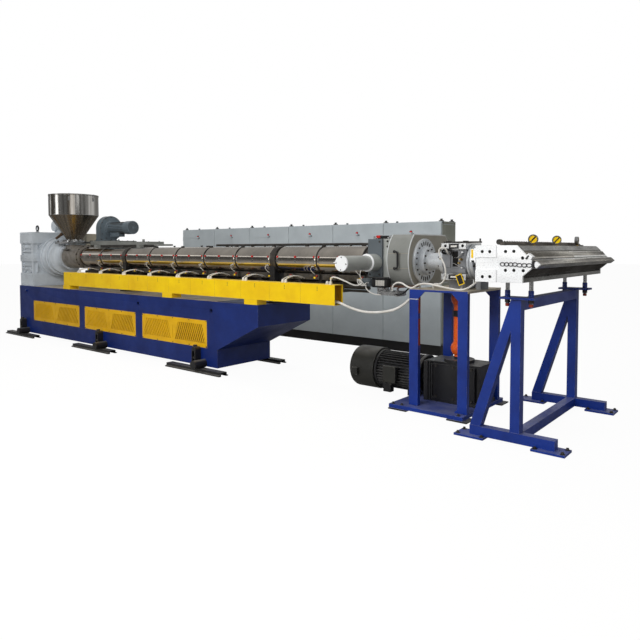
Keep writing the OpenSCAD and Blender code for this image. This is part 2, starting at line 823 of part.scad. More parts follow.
// The guard: bulged on its near side, square on its far side, with a bevelled top edge and a handle.
module guard_drum() {
    z0 = guard_z - guard_h / 2;
    z1 = z0 + guard_h;
    grip_x = guard_x + guard_len / 3;
    place() color(warm_grey) {
        intersection() {
            rod_x([guard_x, guard_y, guard_z], 2 * guard_r, guard_len);
            slab([guard_x, -guard_r, z0], [guard_x + guard_len, guard_y, z1]);
        }
        translate([guard_x, 0, 0]) rotate([90, 0, 90]) linear_extrude(guard_len)
            polygon([[guard_y - 1, z0], [guard_back, z0], [guard_back, z1 - 70], [guard_back - 70, z1],
                [guard_y - 1, z1]]);
        for (s = [-1, 1]) rod_y([grip_x, -guard_near - 28, guard_z + s * guard_grip], 12, 48);
        rod_z([grip_x, -guard_near - 22, guard_z - guard_grip], 12, 2 * guard_grip);
    }
}

// The big slotted flange, the stepped neck and the pump's flange.
module adapter_neck() {
    len = neck_len - 2 * seat;
    r = big_flange_d / 2;
    z = axis_z + 4;
    x0 = guard_end + seat;
    place() color(steel) {
        difference() {
            turned_x([x0, 0, z], [[0, 0], [0, r], [26, r], [26, 142], [78, 142], [78, 86], [len - 52, 86],
                [len - 52, 130], [len, 130], [len, 0]]);
            for (s = [0, 180], i = [0:slot_n - 1])
                translate([x0, 0, z]) rotate([s + (i - (slot_n - 1) / 2) * 13, 0, 0])
                    slab([-1, -9, r - 70], [27, 9, r - 26]);
        }
        rod_z([x0 + 13, -110, frame_z], 24, z - frame_z - r * 0.8);
    }
}

// The melt pump: dark body between two bright end plates, on a pedestal and two posts.
module melt_pump() {
    x0 = pump_x + seat;
    x1 = pump_end - seat;
    step = 96;
    place() {
        color(dark) {
            slab([x0 + 6, -pump_half + 20, pump_z0 + pump_plate_t], [x1 - 6, pump_half - 20, pump_top
                - pump_plate_t]);
            slab([x0 + 6, -pump_half + 8, pump_z0 + pump_plate_t + 60], [x0 + step, pump_half - 20, pump_top
                - pump_plate_t - 30]);
            slab([x0 + 40, -pedestal_half, frame_z + seat], [x1 - 40, pedestal_half, pump_z0]);
            slab([x0 - 12, -pump_half + 70, pump_top], [x1 + 110, -pump_half + 110, pump_top + 16]);
            rod_z([x1 + 100, -pump_half + 90, pump_top + 16], 16, 26);
        }
        color(steel) {
            for (z = [pump_z0, pump_top - pump_plate_t]) slab([x0, -pump_half, z], [x1, pump_half, z
                + pump_plate_t]);
            for (y = [-pump_half + 30, pump_half - 30])
                rod_z([x1 - 50, y, frame_z + seat], 28, pump_z0 - frame_z);
        }
    }
}

// The round flange and the square neck between melt pump and die, with a support block under it.
module die_adapter() {
    x0 = pump_end + seat;
    place() color(steel) {
        turned_x([x0, 0, axis_z + 6], [[0, 0], [0, 172], [22, 172], [22, 160], [60, 160], [60, 0]]);
        slab([x0 + 50, -110, axis_z - 100], [die_x - seat, 110, axis_z + 116]);
        slab([x0 + 66, -90, frame_z + seat], [frame_x + frame_len - 6, 90, axis_z - 99]);
    }
}

// The die's lower half: flat underside, foot edge and a slope up to the lip.
module die_lower() {
    outline = [[0, die_bottom_z], [foot_x, die_bottom_z], [foot_x, die_bottom_z + 50], [slope_x, slope_lo],
        [die_front - 34, slope_lo], [die_front, lip_z - 3], [die_front, lip_z - 1], [0, lip_z - 1]];
    place() color(steel) translate([die_x, 0, 0]) side_profile(outline, -die_half + die_end_t + seat,
        die_half - die_end_t - seat);
}

// The die's upper half: flat top, a slope in two bands and the adjustable lip.
module die_upper() {
    mid_x = (die_top_len + slope_x) / 2;
    mid_z = (die_top_z + slope_hi) / 2;
    outline = [[0, lip_z], [die_front, lip_z], [die_front, lip_z + 2], [die_front - 34, slope_hi],
        [slope_x, slope_hi], [mid_x + 8, mid_z + 4], [mid_x - 4, mid_z + 4], [die_top_len, die_top_z],
        [0, die_top_z]];
    place() color(steel) translate([die_x, 0, 0]) side_profile(outline, -die_half + die_end_t + seat,
        die_half - die_end_t - seat);
}

// The die's two end plates, each with raised blocks on its outer face.
module die_ends() {
    outline = [[0, die_bottom_z], [foot_x, die_bottom_z], [foot_x, die_bottom_z + 50], [slope_x, slope_lo],
        [slope_x, slope_hi], [die_top_len, die_top_z], [0, die_top_z]];
    block = 168;
    place() color(steel) translate([die_x, 0, 0]) for (s = [-1, 1]) {
        y0 = s * (die_half - die_end_t);
        y1 = s * (die_half - die_step);
        side_profile(outline, min(y0, y1), max(y0, y1));
        for (z = [die_bottom_z, die_top_z - 92])
            side_profile([[0, z], [block, z], [block, z + 92], [0, z + 92]],
            min(y1, s * die_half), max(y1, s * die_half));
    }
}

// The row of adjusting bolts that lean back along the die's top edge.
module die_bolts() {
    pitch = (die_w - 160) / (die_bolt_n - 1);
    place() color(dark) intersection() {
        for (i = [0:die_bolt_n - 1]) translate([die_x + die_top_len - 115, -die_half + 80 + i * pitch,
            die_top_z - 20]) rotate([0, -45, 0]) cylinder(d = 30, h = 76, $fn = 6);
        slab([die_x, -die_half, die_top_z + seat], [die_x + die_front, die_half, die_top_z + 80]);
    }
}

// Three round gauges on stems along the die's top.
module die_gauges() {
    place() color(steel) for (y = [-0.46, 0.09, 0.65] * die_half) {
        rod_z([die_x + gauge_x, y, die_top_z + seat], 16, 26);
        rod_x([die_x + gauge_x - gauge_t / 2, y, die_top_z + 62], gauge_d, gauge_t);
    }
}

// Screws that carry the die on its stand, with nuts above and under the stand's top plates.
module die_supports() {
    place() color(dark) for (s = [-1, 1], x = screw_xs) {
        rod_z([x, s * stand_y, stand_top - 60], screw_d, die_bottom_z - stand_top + 60 - seat);
        for (z = [stand_z + seat, stand_top - 24 - seat]) translate([x, s * stand_y, z])
            cylinder(d = nut_d, h = 24, $fn = 6);
    }
}

// One side of the die stand: floor beam, upright post, sloping leg and top plate.
module stand_frame() {
    x1 = stand_post_x;
    x0 = x1 - stand_tube;
    z0 = beam_z + stand_tube;
    y = stand_tube / 2;
    slab([stand_x, -y, beam_z], [stand_x + stand_len, y, z0]);
    slab([x0, -y, z0], [x1, y, stand_top]);
    difference() {
        slab([die_x + 79, -y - 30, stand_top], [die_x + 329 + nut_d / 2, y + 30, stand_z]);
        for (x = screw_xs) rod_z([x, 0, stand_top - 1], screw_d + 2 * seat, stand_plate_t + 2);
    }
    side_profile([[stand_x + 2, z0], [stand_x + 2 + leg_w, z0], [x0, leg_apex], [x0, stand_top]], -y, y);
    for (x = [stand_x - 120, stand_x + stand_len - 170]) slab([x, -90, 0], [x + 260, 90, beam_z]);
}

// The die stand: two side frames and the two tubes that join them.
module die_stand_frames() {
    y = stand_y - stand_tube / 2;
    place() color(navy) {
        for (s = [-1, 1]) translate([0, s * stand_y, 0]) stand_frame();
        slab([stand_post_x - stand_tube, -y, stand_top - 90], [stand_post_x, y, stand_top]);
        slab([stand_post_x - stand_tube, -y, beam_z], [stand_post_x, y, beam_z + stand_tube]);
    }
}

// The pump stand: four legs with gussets under a top plate.
module pump_stand() {
    y = frame_w / 2;
    x1 = frame_x + frame_len;
    z1 = frame_z - frame_plate_t;
    place() color(navy) {
        slab([frame_x, -y, z1], [x1, y, frame_z]);
        for (s = [-1, 1]) {
            y0 = s < 0 ? -y : y - frame_leg_y;
            z0 = base_plate_top + seat;
            for (x = [frame_x, x1 - frame_leg])
                slab([x, y0, z0], [x + frame_leg, y0 + frame_leg_y, z1 + bite]);
            xa = frame_x + frame_leg - bite;
            side_profile([[xa, z1 + bite], [xa, z1 - gusset], [xa + gusset, z1 + bite]], y0, y0 + gusset_t);
            xb = x1 - frame_leg + bite;
            side_profile([[xb, z1 + bite], [xb - gusset, z1 + bite], [xb, z1 - gusset]], y0, y0 + gusset_t);
            side_profile([[xb, z0], [xb, z0 + gusset / 2], [xb - gusset / 2, z0]], y0, y0 + frame_leg_y);
        }
    }
}

// The pump stand's floor plate on its pads.
module pump_base() {
    y = frame_w / 2 + 90;
    x0 = frame_x - base_plate_out;
    x1 = frame_x + frame_len;
    place() {
        color(navy) slab([x0, -y, base_plate_z], [x1, y, base_plate_top]);
        color(dark) for (x = [x0 + 6, x1 - 152], s = [-1, 1]) slab([x, s < 0 ? -y - 20 : y - 150, 0],
            [x + 200, s < 0 ? -y + 150 : y + 20, base_plate_z]);
    }
}

// The pump's gearbox with its cover, side lugs and output flange.
module pump_gearbox() {
    y1 = box_y0 + box_w;
    z0 = base_plate_top + seat;
    lug = 24;
    place() color(dark) {
        slab([box_x, box_y0 + lug, z0], [box_x + box_len, y1 - lug, box_top]);
        slab([box_x, box_y0, z0], [box_x + box_len, y1, z0 + 40]);
        slab([box_x + 40, box_y0, z0], [box_x + 96, y1, box_top - 30]);
        slab([box_x + box_len / 2, box_y0 + 10, z0], [box_x + box_len - 60, y1 - 10, box_top - 60]);
        rod_z([cardan_x, cardan_y, box_top], box_flange_d, box_flange_h);
        rod_z([cardan_x, cardan_y, box_top], 110, spigot_h);
    }
}

// The pump's motor: fan cowl, ribbed body, end shield and terminal box.
module pump_motor() {
    x0 = motor_x1 - motor_len;
    xb = x0 + cowl_len;
    d = motor_d - 70;
    fins = 28;
    place() color(dark) {
        rod_x([x0, motor_y, motor_z], motor_d, cowl_len);
        rod_x([xb, motor_y, motor_z], d, motor_len - cowl_len);
        rod_x([motor_x1 - 40, motor_y, motor_z], motor_d - 10, 40);
        for (i = [0:fins - 1]) translate([0, motor_y, motor_z]) rotate([i * 360 / fins, 0, 0])
            slab([xb - 1, -4, d / 2 - 4], [motor_x1 - 30, 4, motor_d / 2 - 8]);
        slab([xb + 110, motor_y - motor_d / 2 - 46, motor_z - 80], [xb + 300, motor_y, motor_z + 80]);
        for (x = [xb + 20, motor_x1 - 120])
            slab([x, motor_y - 170, base_plate_top + seat], [x + 80, motor_y + 170,
            motor_z]);
    }
}

// One cardan joint on the origin: flange, two forks at right angles and their cross.
module cardan_joint() {
    ear = joint_h / 2 + 12;
    cylinder(d = 104, h = 14);
    for (s = [-1, 1]) {
        translate([0, s * 34 - 9, 0]) slab([-24, 0, 10], [24, 18, ear]);
        rod_y([0, s * 34 - 9, ear], 56, 18);
        translate([s * 34 - 9, 0, 0]) slab([0, -24, ear], [18, 24, joint_h + 20]);
        rod_x([s * 34 - 9, 0, ear], 56, 18);
    }
    rod_x([-40, 0, ear], 24, 80);
    rod_y([0, -40, ear], 24, 80);
    rod_z([0, 0, joint_h + 6], 88, 24);
}

// The upright cardan shaft: a joint at each end, the tube, and a sleeve in its middle.
module cardan_shaft() {
    h = cardan_z1 - cardan_z0;
    place() color(orange) translate([cardan_x, cardan_y, cardan_z0]) {
        cardan_joint();
        translate([0, 0, h]) mirror([0, 0, 1]) cardan_joint();
        rod_z([0, 0, joint_h + 20], cardan_d, h - 2 * joint_h - 40);
        rod_z([0, 0, h * 0.47], cardan_d + 12, 70);
    }
}

// A cable: a ring of eight points round each point of its route, joined into one closed surface.
// The rings are turned alike about the direction called side.
module cable(route, d, side = [0, 1, 0]) {
    n = len(route);
    k = 8;
    // The direction of the route at point i.
    function way(i) = let (v = route[min(i + 1, n - 1)] - route[max(i - 1, 0)]) v / norm(v);
    rings = [for (i = [0:n - 1]) let (t = way(i), a = cross(t, side), u = a / norm(a),
        w = cross(u, t)) for (j = [0:k - 1]) route[i] + d / 2 * (u * cos(j * 360 / k)
        + w * sin(j * 360 / k))];
    sides = [for (i = [0:n - 2], j = [0:k - 1]) [i * k + j, i * k + (j + 1) % k, (i + 1) * k + (j + 1) % k,
        (i + 1) * k + j]];
    polyhedron(rings, concat(sides, [[for (j = [k - 1:-1:0]) j]], [[for (j = [0:k - 1]) (n - 1) * k + j]]));
}

// The thick cable that leaves the tray's open end and sags to the pump stand's leg.
module tray_cable() {
    place() color("white") cable(tray_cable, tray_cable_d);
}

// The cable from the fittings plate over the pump stand's top to the back of the die.
module die_cable() {
    place() color("white") cable(die_cable, die_cable_d);
}

// The lead that rises in a loop to the pump's near face.
module pump_lead() {
    place() color("white") cable(pump_lead, pump_lead_d, [0, 1, 1]);
}

// The lead from the last gland to the terminals beside the screen changer.
module gland_cable() {
    place() color("white") cable(gland_cable, pump_lead_d);
}

// The cabinets' roof with its lifting lugs.
module cabinet_roof() {
    place() color(warm_grey) {
        slab([cabinet_x, cab_body_y, cabinet_h - cabinet_t], [cabinet_x + cab_len, y_max, cabinet_h]);
        for (i = [0:cabinet_n], y = [cab_body_y + 40, y_max - 60]) {
            x = min(max(cabinet_x + i * cabinet_w, cabinet_x + 40), cabinet_x + cab_len - 40);
            slab([x - 34, y, cabinet_h], [x + 34, y + 30, cabinet_h + 14]);
            rod_z([x, y + 15, cabinet_h], 34, 42);
        }
    }
}

// The cabinets' floor and plinth.
module cabinet_floor() {
    place() color(dark) {
        slab([cabinet_x + 12, cab_body_y + 12, 0], [cabinet_x + cab_len - 12, y_max - 12, plinth_h]);
        slab([cabinet_x, cab_body_y, plinth_h], [cabinet_x + cab_len, y_max, plinth_h + cabinet_t]);
    }
}

// The cabinets' back wall.
module cabinet_back() {
    place() color(warm_grey) slab([cabinet_x, y_max - cabinet_t, plinth_h + cabinet_t], [cabinet_x + cab_len,
        y_max, cabinet_h - cabinet_t]);
}

// The cabinets' end walls, each with a sunk panel, and the posts between their doors.
module cabinet_uprights() {
    z0 = plinth_h + cabinet_t;
    z1 = cabinet_h - cabinet_t;
    y1 = y_max - cabinet_t;
    rim = 46;
    place() color(warm_grey) {
        for (s = [0, 1]) {
            x = s == 0 ? cabinet_x : cabinet_x + cab_len - cabinet_t;
            difference() {
                slab([x, cab_body_y, z0], [x + cabinet_t, y1, z1]);
                slab([s == 0 ? x - 1 : x + cabinet_t - side_recess, cab_body_y + rim, z0 + rim],
                    [s == 0 ? x + side_recess : x + cabinet_t + 1, y1 - rim, z1 - rim]);
            }
        }
        for (i = [1:cabinet_n - 1]) slab([cabinet_x + i * cabinet_w - 25, cab_body_y, z0], [cabinet_x
            + i * cabinet_w + 25, cab_body_y + 60, z1]);
    }
}

// One cabinet door with its hinge pins, lamp and latch; number i counts from the left.
module cabinet_door(i) {
    x0 = cabinet_x + (i - 1) * cabinet_w;
    xh = x0 + door_gap / 2;
    place() {
        color(warm_grey) {
            slab([xh, cabinet_y, door_z0],
                [x0 + cabinet_w - door_gap / 2, cabinet_y + door_t, door_z0 + door_h]);
            for (z = [0.1, 0.5, 0.9]) rod_z([xh, cabinet_y, door_z0 + z * door_h - pin_h / 2], pin_d, pin_h);
        }
        color("red") rod_y([x0 + cabinet_w / 2, cabinet_y - 30, cabinet_h - 170], 36, 31);
        color(dark) slab([x0 + cabinet_w - 70, cabinet_y - 16, plinth_h + door_h / 2], [x0 + cabinet_w - 44,
            cabinet_y + 1, plinth_h + door_h / 2 + 120]);
    }
}

module cabinet_door_1() { cabinet_door(1); }
module cabinet_door_2() { cabinet_door(2); }
module cabinet_door_3() { cabinet_door(3); }
module cabinet_door_4() { cabinet_door(4); }
module cabinet_door_5() { cabinet_door(5); }
module cabinet_door_6() { cabinet_door(6); }

base_frame();
louvre_panels();
levelling_jacks();
gearbox_housing();
drive_motor();
bearing_flange();
feed_section();
hopper_throat();
hopper();
hopper_lid();
barrel();
heater_covers();
barrel_supports();
under_channel();
blower_duct();
blower_housing();
cable_tray();
tray_covers();
tray_feet();
gland_leads();
screen_changer();
hydraulic_cylinder();
instruments();
guard_drum();
adapter_neck();
melt_pump();
die_adapter();
die_lower();
die_upper();
die_ends();
die_bolts();
die_gauges();
die_supports();
die_stand_frames();
pump_stand();
pump_base();
pump_gearbox();
pump_motor();
cardan_shaft();
tray_cable();
die_cable();
pump_lead();
gland_cable();
cabinet_roof();
cabinet_floor();
cabinet_back();
cabinet_uprights();
cabinet_door_1();
cabinet_door_2();
cabinet_door_3();
cabinet_door_4();
cabinet_door_5();
cabinet_door_6();
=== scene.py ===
"""Looks of a sheet extrusion line: gearbox, hopper, barrel, melt pump, flat die and cabinets.

Every piece is placed in the line's own frame, in metres: x runs downstream from the left end of
the base frame, y = 0 is the screw axis with +y towards the cabinets, and z = 0 is the floor.
LINE_TO_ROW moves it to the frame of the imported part.
"""

import logging
import math
from dataclasses import dataclass, field
from enum import Enum
from functools import cache
from typing import Optional, Sequence

import bmesh
import bpy
import numpy as np
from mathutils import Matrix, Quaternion, Vector


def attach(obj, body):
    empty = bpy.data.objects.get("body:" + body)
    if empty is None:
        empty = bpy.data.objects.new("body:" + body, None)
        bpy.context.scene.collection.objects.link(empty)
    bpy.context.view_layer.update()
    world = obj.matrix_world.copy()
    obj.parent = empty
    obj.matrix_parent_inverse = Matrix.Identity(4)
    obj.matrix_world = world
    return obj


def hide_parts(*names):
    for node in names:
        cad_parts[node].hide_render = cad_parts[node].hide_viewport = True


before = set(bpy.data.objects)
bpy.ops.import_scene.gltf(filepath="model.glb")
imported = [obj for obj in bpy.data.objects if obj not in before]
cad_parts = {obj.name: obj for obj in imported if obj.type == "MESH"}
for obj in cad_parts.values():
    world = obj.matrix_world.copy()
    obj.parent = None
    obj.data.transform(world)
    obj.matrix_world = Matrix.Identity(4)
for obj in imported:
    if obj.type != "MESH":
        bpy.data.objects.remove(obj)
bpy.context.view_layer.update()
log = logging.getLogger("line")
LINE_TO_ROW = np.array([-4.792, -0.859, 0.0])
TAU = 2 * math.pi
AXIS_Z = 1.446      # height of the screw's axis
TABLE_Z = 1.184     # top of the pump's stand
SUPPORT_Y = 0.733   # half the distance between the die's two rows of supports
ORIGIN = (0, 0, 0)
Colour = tuple[float, float, float]


class Axis(Enum):
    """The direction that a turned or extruded shape runs along."""

    X = 0
    Y = 1
    Z = 2

    def basis(self) -> np.ndarray:
        """Rows are the shape's own direction and the two directions across it."""
        i = self.value
        return np.eye(3)[[i, (i + 1) % 3, (i + 2) % 3]]


# ---------------------------------------------------------------- shapes

@dataclass
class Shape:
    """Points and faces of a closed surface.

    Attributes:
        verts: points, one row each.
        quads: faces of four point numbers.
        caps: faces of any size, as lists of point numbers.
    """

    verts: np.ndarray
    quads: np.ndarray
    caps: list[list[int]] = field(default_factory=list)

    def moved(self, offset: Sequence[float]) -> "Shape":
        """The shape moved by offset."""
        return Shape(self.verts + np.asarray(offset, float), self.quads, self.caps)

    def turned(self, axis: Axis, degrees: float, about: Sequence[float] = ORIGIN) -> "Shape":
        """The shape turned about a line through a point.

        Args:
            axis: direction of the line.
            degrees: angle, right-handed.
            about: a point on the line.

        Returns:
            p' = about + R (p - about), with R the turn by the angle.
        """
        a = math.radians(degrees)
        i, j, k = axis.value, (axis.value + 1) % 3, (axis.value + 2) % 3
        turn = np.zeros((3, 3))
        turn[i, i] = 1
        turn[j, j] = turn[k, k] = math.cos(a)
        turn[j, k] = -math.sin(a)
        turn[k, j] = math.sin(a)
        c = np.asarray(about, float)
        return Shape((self.verts - c) @ turn.T + c, self.quads, self.caps)

    def repeated(self, offsets: np.ndarray) -> "Shape":
        """Copies of the shape, one at each row of offsets, as one shape."""
        offsets = np.asarray(offsets, float).reshape(-1, 3)
        n, k = len(self.verts), len(offsets)
        verts = (self.verts[None] + offsets[:, None]).reshape(-1, 3)
        quads = (self.quads[None] + (np.arange(k) * n)[:, None, None]).reshape(-1, 4)
        caps = [[i + c * n for i in cap] for c in range(k) for cap in self.caps]
        return Shape(verts, quads, caps)


def joined(shapes: Sequence[Shape]) -> Shape:
    """Several shapes as one."""
    starts = np.cumsum([0] + [len(s.verts) for s in shapes])
    verts = np.concatenate([s.verts for s in shapes])
    quads = np.concatenate([s.quads + a for s, a in zip(shapes, starts)])
    caps = [[i + int(a) for i in cap] for s, a in zip(shapes, starts) for cap in s.caps]
    return Shape(verts, quads, caps)


def grid(points: np.ndarray, loop_u: bool = False, loop_v: bool = False,
         cap: bool = False) -> Shape:
    """A surface through a grid of points.

    Args:
        points: array of (nu, nv, 3).
        loop_u: the last row joins the first.
        loop_v: the last column joins the first.
        cap: closes the first and the last row, where the columns loop, with one face each.

    Returns:
        The surface, whose face (i, j) has the corners (i, j), (i+1, j), (i+1, j+1), (i, j+1).
    """
    nu, nv = points.shape[:2]
    i = np.arange(nu if loop_u else nu - 1)[:, None]
    j = np.arange(nv if loop_v else nv - 1)[None]
    i2, j2 = (i + 1) % nu, (j + 1) % nv
    quads = np.stack([i * nv + j, i2 * nv + j, i2 * nv + j2, i * nv + j2], -1).reshape(-1, 4)
    caps = [list(range(nv)), list(range((nu - 1) * nv, nu * nv))] if cap else []
    return Shape(points.reshape(-1, 3), quads, caps)


def lathe(at: Sequence[float], axis: Axis, profile: Sequence[tuple[float, float]], n: int = 48,
          ring: bool = False, phase: float = 0.0) -> Shape:
    """A turned body: p(u, v) = at + a(v) e0 + r(v) (cos u e1 + sin u e2).

    Args:
        at: start of the axis.
        axis: direction e0.
        profile: pairs of distance a along the axis and radius r.
        n: points round the body.
        ring: the profile is a closed loop, as on a washer; else its ends are capped.
        phase: angle of the first point, in degrees.

    Returns:
        The closed body.
    """
    e = axis.basis()
    a, r = np.array(profile, float).T
    u = np.radians(phase) + np.linspace(0, TAU, n, endpoint=False)
    across = np.cos(u)[:, None] * e[1] + np.sin(u)[:, None] * e[2]
    pts = np.asarray(at, float) + a[:, None, None] * e[0] + r[:, None, None] * across[None]
    return grid(pts, loop_u=ring, loop_v=True, cap=not ring)


def rod(at: Sequence[float], axis: Axis, d: float, length: float, n: int = 32,
        edge: float = 0.0015) -> Shape:
    """A round bar with chamfered ends."""
    r = d / 2
    return lathe(at, axis, [(0, r - edge), (edge, r), (length - edge, r), (length, r - edge)], n)


def prism(outline: Sequence[tuple[float, float]], axis: Axis, a: float, b: float) -> Shape:
    """An outline carried along an axis from a to b.

    Args:
        outline: points in the two directions across the axis, in the order of Axis.basis().
        axis: direction of the run.
        a: start on the axis.
        b: end on the axis.

    Returns:
        p(i, s) = s e0 + y_i e1 + z_i e2, for s in (a, b), with both ends capped.
    """
    e = axis.basis()
    q = np.array(outline, float)
    flat = q[:, :1] * e[1] + q[:, 1:] * e[2]
    return grid(np.stack([flat + a * e[0], flat + b * e[0]]), loop_v=True, cap=True)


def block(lo: Sequence[float], hi: Sequence[float]) -> Shape:
    """A box between two corners; its object gets its edges from a Bevel modifier."""
    (x0, y0, z0), (x1, y1, z1) = lo, hi
    return prism([(x0, y0), (x1, y0), (x1, y1), (x0, y1)], Axis.Z, z0, z1)


def blocks(*corners: tuple) -> Shape:
    """Several blocks in one shape, each given by its low and high corner."""
    return joined([block(low, high) for low, high in corners])


def bar_between(p: Sequence[float], q: Sequence[float], d: float, n: int = 16) -> Shape:
    """A round bar between two points."""
    return tube(np.array([p, q], float), d, n)


def tube(path: np.ndarray, d: float, n: int = 12, flat: float = 1.0) -> Shape:
    """A tube along a path: p(i, u) = c_i + r (cos u U_i + f sin u W_i), U and W across it.

    Args:
        path: points of the centre line.
        d: diameter.
        n: points round the tube.
        flat: factor f of the second direction.

    Returns:
        The capped tube.
    """
    c = np.asarray(path, float)
    t = np.gradient(c, axis=0)
    t /= np.linalg.norm(t, axis=1)[:, None]
    axes = np.eye(3)
    side = axes[np.argmin(np.abs(t).max(axis=0))]
    u = np.cross(t, side)
    u /= np.linalg.norm(u, axis=1)[:, None]
    w = np.cross(t, u)
    a = np.linspace(0, TAU, n, endpoint=False)
    across = np.cos(a)[None, :, None] * u[:, None] + flat * np.sin(a)[None, :, None] * w[:, None]
    return grid(c[:, None] + d / 2 * across, loop_v=True, cap=True)


def smooth_path(points: Sequence[Sequence[float]], per: int = 6) -> np.ndarray:
    """A Catmull-Rom curve through points.

    c(t) = (2 p1 + (p2 - p0) t + (2 p0 - 5 p1 + 4 p2 - p3) t^2 + (3 p1 - p0 - 3 p2 + p3) t^3) / 2
    between p1 and p2.
    """
    p = np.array(points, float)
    q = np.vstack([2 * p[0] - p[1], p, 2 * p[-1] - p[-2]])
    t = np.linspace(0, 1, per, endpoint=False)[None, :, None]
    a, b, c, d = (q[i:len(q) - 3 + i, None] for i in range(4))
    curve = 0.5 * (2 * b + (c - a) * t + (2 * a - 5 * b + 4 * c - d) * t ** 2
                   + (3 * b - a - 3 * c + d) * t ** 3)
    return np.vstack([curve.reshape(-1, 3), p[-1]])


def hex_bolt(d: float, h: float, axis: Axis = Axis.Z, sign: int = 1) -> Shape:
    """A hexagon head on a washer, standing on the origin.

    Args:
        d: width over corners.
        h: height with the washer.
        axis: direction that the head points in.
        sign: -1 turns it to the axis's negative side.

    Returns:
        The head and washer.
    """
    s = sign
    head = lathe(ORIGIN, axis, [(s * 0.2 * h, d * 0.5), (s * 0.85 * h, d * 0.5), (s * h, d * 0.43)],
                 6)
    washer = lathe(ORIGIN, axis, [(0, d * 0.62), (s * 0.2 * h, d * 0.62)], 16)
    return joined([head, washer])


def socket_screw(d: float, h: float, axis: Axis = Axis.Z, sign: int = 1) -> Shape:
    """A round screw head with a hexagon socket sunk in its top, standing on the origin."""
    s, r = sign, d / 2
    return lathe(ORIGIN, axis, [(0, r), (s * 0.9 * h, r), (s * h, r * 0.9), (s * h, r * 0.55),
                                (s * h * 0.45, r * 0.5)], 12)


def on_circle(centre: Sequence[float], axis: Axis, radius: float, count: int, start: float = 0.0,
              span: float = 360.0) -> np.ndarray:
    """Points at equal angles on a circle, or on a part of it."""
    e = axis.basis()
    full = abs(span - 360) < 1e-6
    a = np.radians(start + np.linspace(0, span, count, endpoint=not full))
    return np.asarray(centre, float) + radius * (np.cos(a)[:, None] * e[1] + np.sin(a)[:, None] *
                                                 e[2])


# ---------------------------------------------------------------- materials

def feed(tree: bpy.types.NodeTree, node: bpy.types.Node, inputs: dict) -> bpy.types.Node:
    """Sets the inputs of a node.

    Args:
        tree: the node's tree.
        node: the node.
        inputs: values by name or number; a socket is linked, anything else is set.

    Returns:
        The node.
    """
    for name, value in inputs.items():
        if isinstance(value, bpy.types.NodeSocket):
            tree.links.new(value, node.inputs[name])
        else:
            node.inputs[name].default_value = value
    return node


def add(tree: bpy.types.NodeTree, kind: str, inputs: Optional[dict] = None,
        **settings: object) -> bpy.types.Node:
    """Adds a shader node.

    Args:
        tree: the tree that gets it.
        kind: its type, without "ShaderNode".
        inputs: values for feed().
        settings: the node's own properties.

    Returns:
        The node.
    """
    node = tree.nodes.new("ShaderNode" + kind)
    for name, value in settings.items():
        setattr(node, name, value)
    return feed(tree, node, inputs or {})


def rgba(c: Colour) -> tuple[float, float, float, float]:
    """A colour with full alpha."""
    return (*c, 1.0)


def mixed(tree: bpy.types.NodeTree, factor: bpy.types.NodeSocket, a: object,
          b: object) -> bpy.types.NodeSocket:
    """A colour mix of a and b, each a socket or a colour."""
    a, b = (v if isinstance(v, bpy.types.NodeSocket) else rgba(v) for v in (a, b))
    mix = add(tree, "Mix", {"Factor": factor, "A": a, "B": b}, data_type="RGBA")
    return mix.outputs["Result"]


def product(tree: bpy.types.NodeTree, a: bpy.types.NodeSocket, b: bpy.types.NodeSocket,
            clamp: bool = False) -> bpy.types.NodeSocket:
    """a times b, kept within 0 and 1 if clamp is set."""
    return add(tree, "Math", {0: a, 1: b}, operation="MULTIPLY", use_clamp=clamp).outputs["Value"]


def ranged(tree: bpy.types.NodeTree, value: bpy.types.NodeSocket, lo: float, hi: float,
           a: float = 0.0, b: float = 1.0) -> bpy.types.NodeSocket:
    """Maps a to lo and b to hi."""
    ends = {"From Min": a, "From Max": b, "To Min": lo, "To Max": hi}
    return add(tree, "MapRange", {"Value": value, **ends}).outputs["Result"]


def noise_of(tree: bpy.types.NodeTree, vector: bpy.types.NodeSocket, scale: float,
             detail: float = 5, stretch: Sequence[float] = (1, 1, 1)) -> bpy.types.NodeSocket:
    """Noise on object coordinates, stretched by a Mapping node."""
    mapping = add(tree, "Mapping", {"Vector": vector, "Scale": tuple(stretch)})
    noise = {"Vector": mapping.outputs["Vector"], "Scale": scale, "Detail": detail}
    return add(tree, "TexNoise", noise).outputs["Fac"]


def new_group(name: str, inputs: dict[str, object], outputs: Sequence[str]) -> tuple:
    """Starts a node group.

    Args:
        name: its name.
        inputs: usual values by name, which also tell the kind of socket.
        outputs: names; "Colour" holds a colour, any other a number.

    Returns:
        The tree, the sockets that it is given, and the sockets of its result.
    """
    t = bpy.data.node_groups.new(name, "ShaderNodeTree")
    for key, value in inputs.items():
        kind = "Float" if isinstance(value, float) else "Vector" if len(value) == 3 else "Color"
        socket = t.interface.new_socket(name=key, in_out="INPUT", socket_type="NodeSocket" + kind)
        socket.default_value = value
    for key in outputs:
        kind = "Color" if key == "Colour" else "Float"
        t.interface.new_socket(name=key, in_out="OUTPUT", socket_type="NodeSocket" + kind)
    return t, t.nodes.new("NodeGroupInput").outputs, t.nodes.new("NodeGroupOutput").inputs


@cache
def mottle() -> bpy.types.NodeTree:
    """Group: two colours mixed by noise; the mask is the noise itself."""
    t, given, result = new_group("mottle", {"Vector": ORIGIN, "Light": (1, 1, 1, 1),
                                            "Dark": (0, 0, 0, 1), "Scale": 4.0}, ("Colour", "Mask"))
    noise = add(t, "TexNoise", {
        "Vector": given["Vector"], "Scale": given["Scale"], "Detail": 6, "Roughness": 0.62})
    mask = ranged(t, noise.outputs["Fac"], 0, 1, 0.32, 0.68)
    mix = add(t, "Mix", {"Factor": mask, "A": given["Dark"], "B": given["Light"]}, data_type="RGBA")
    t.links.new(mix.outputs["Result"], result["Colour"])
    t.links.new(mask, result["Mask"])
    return t


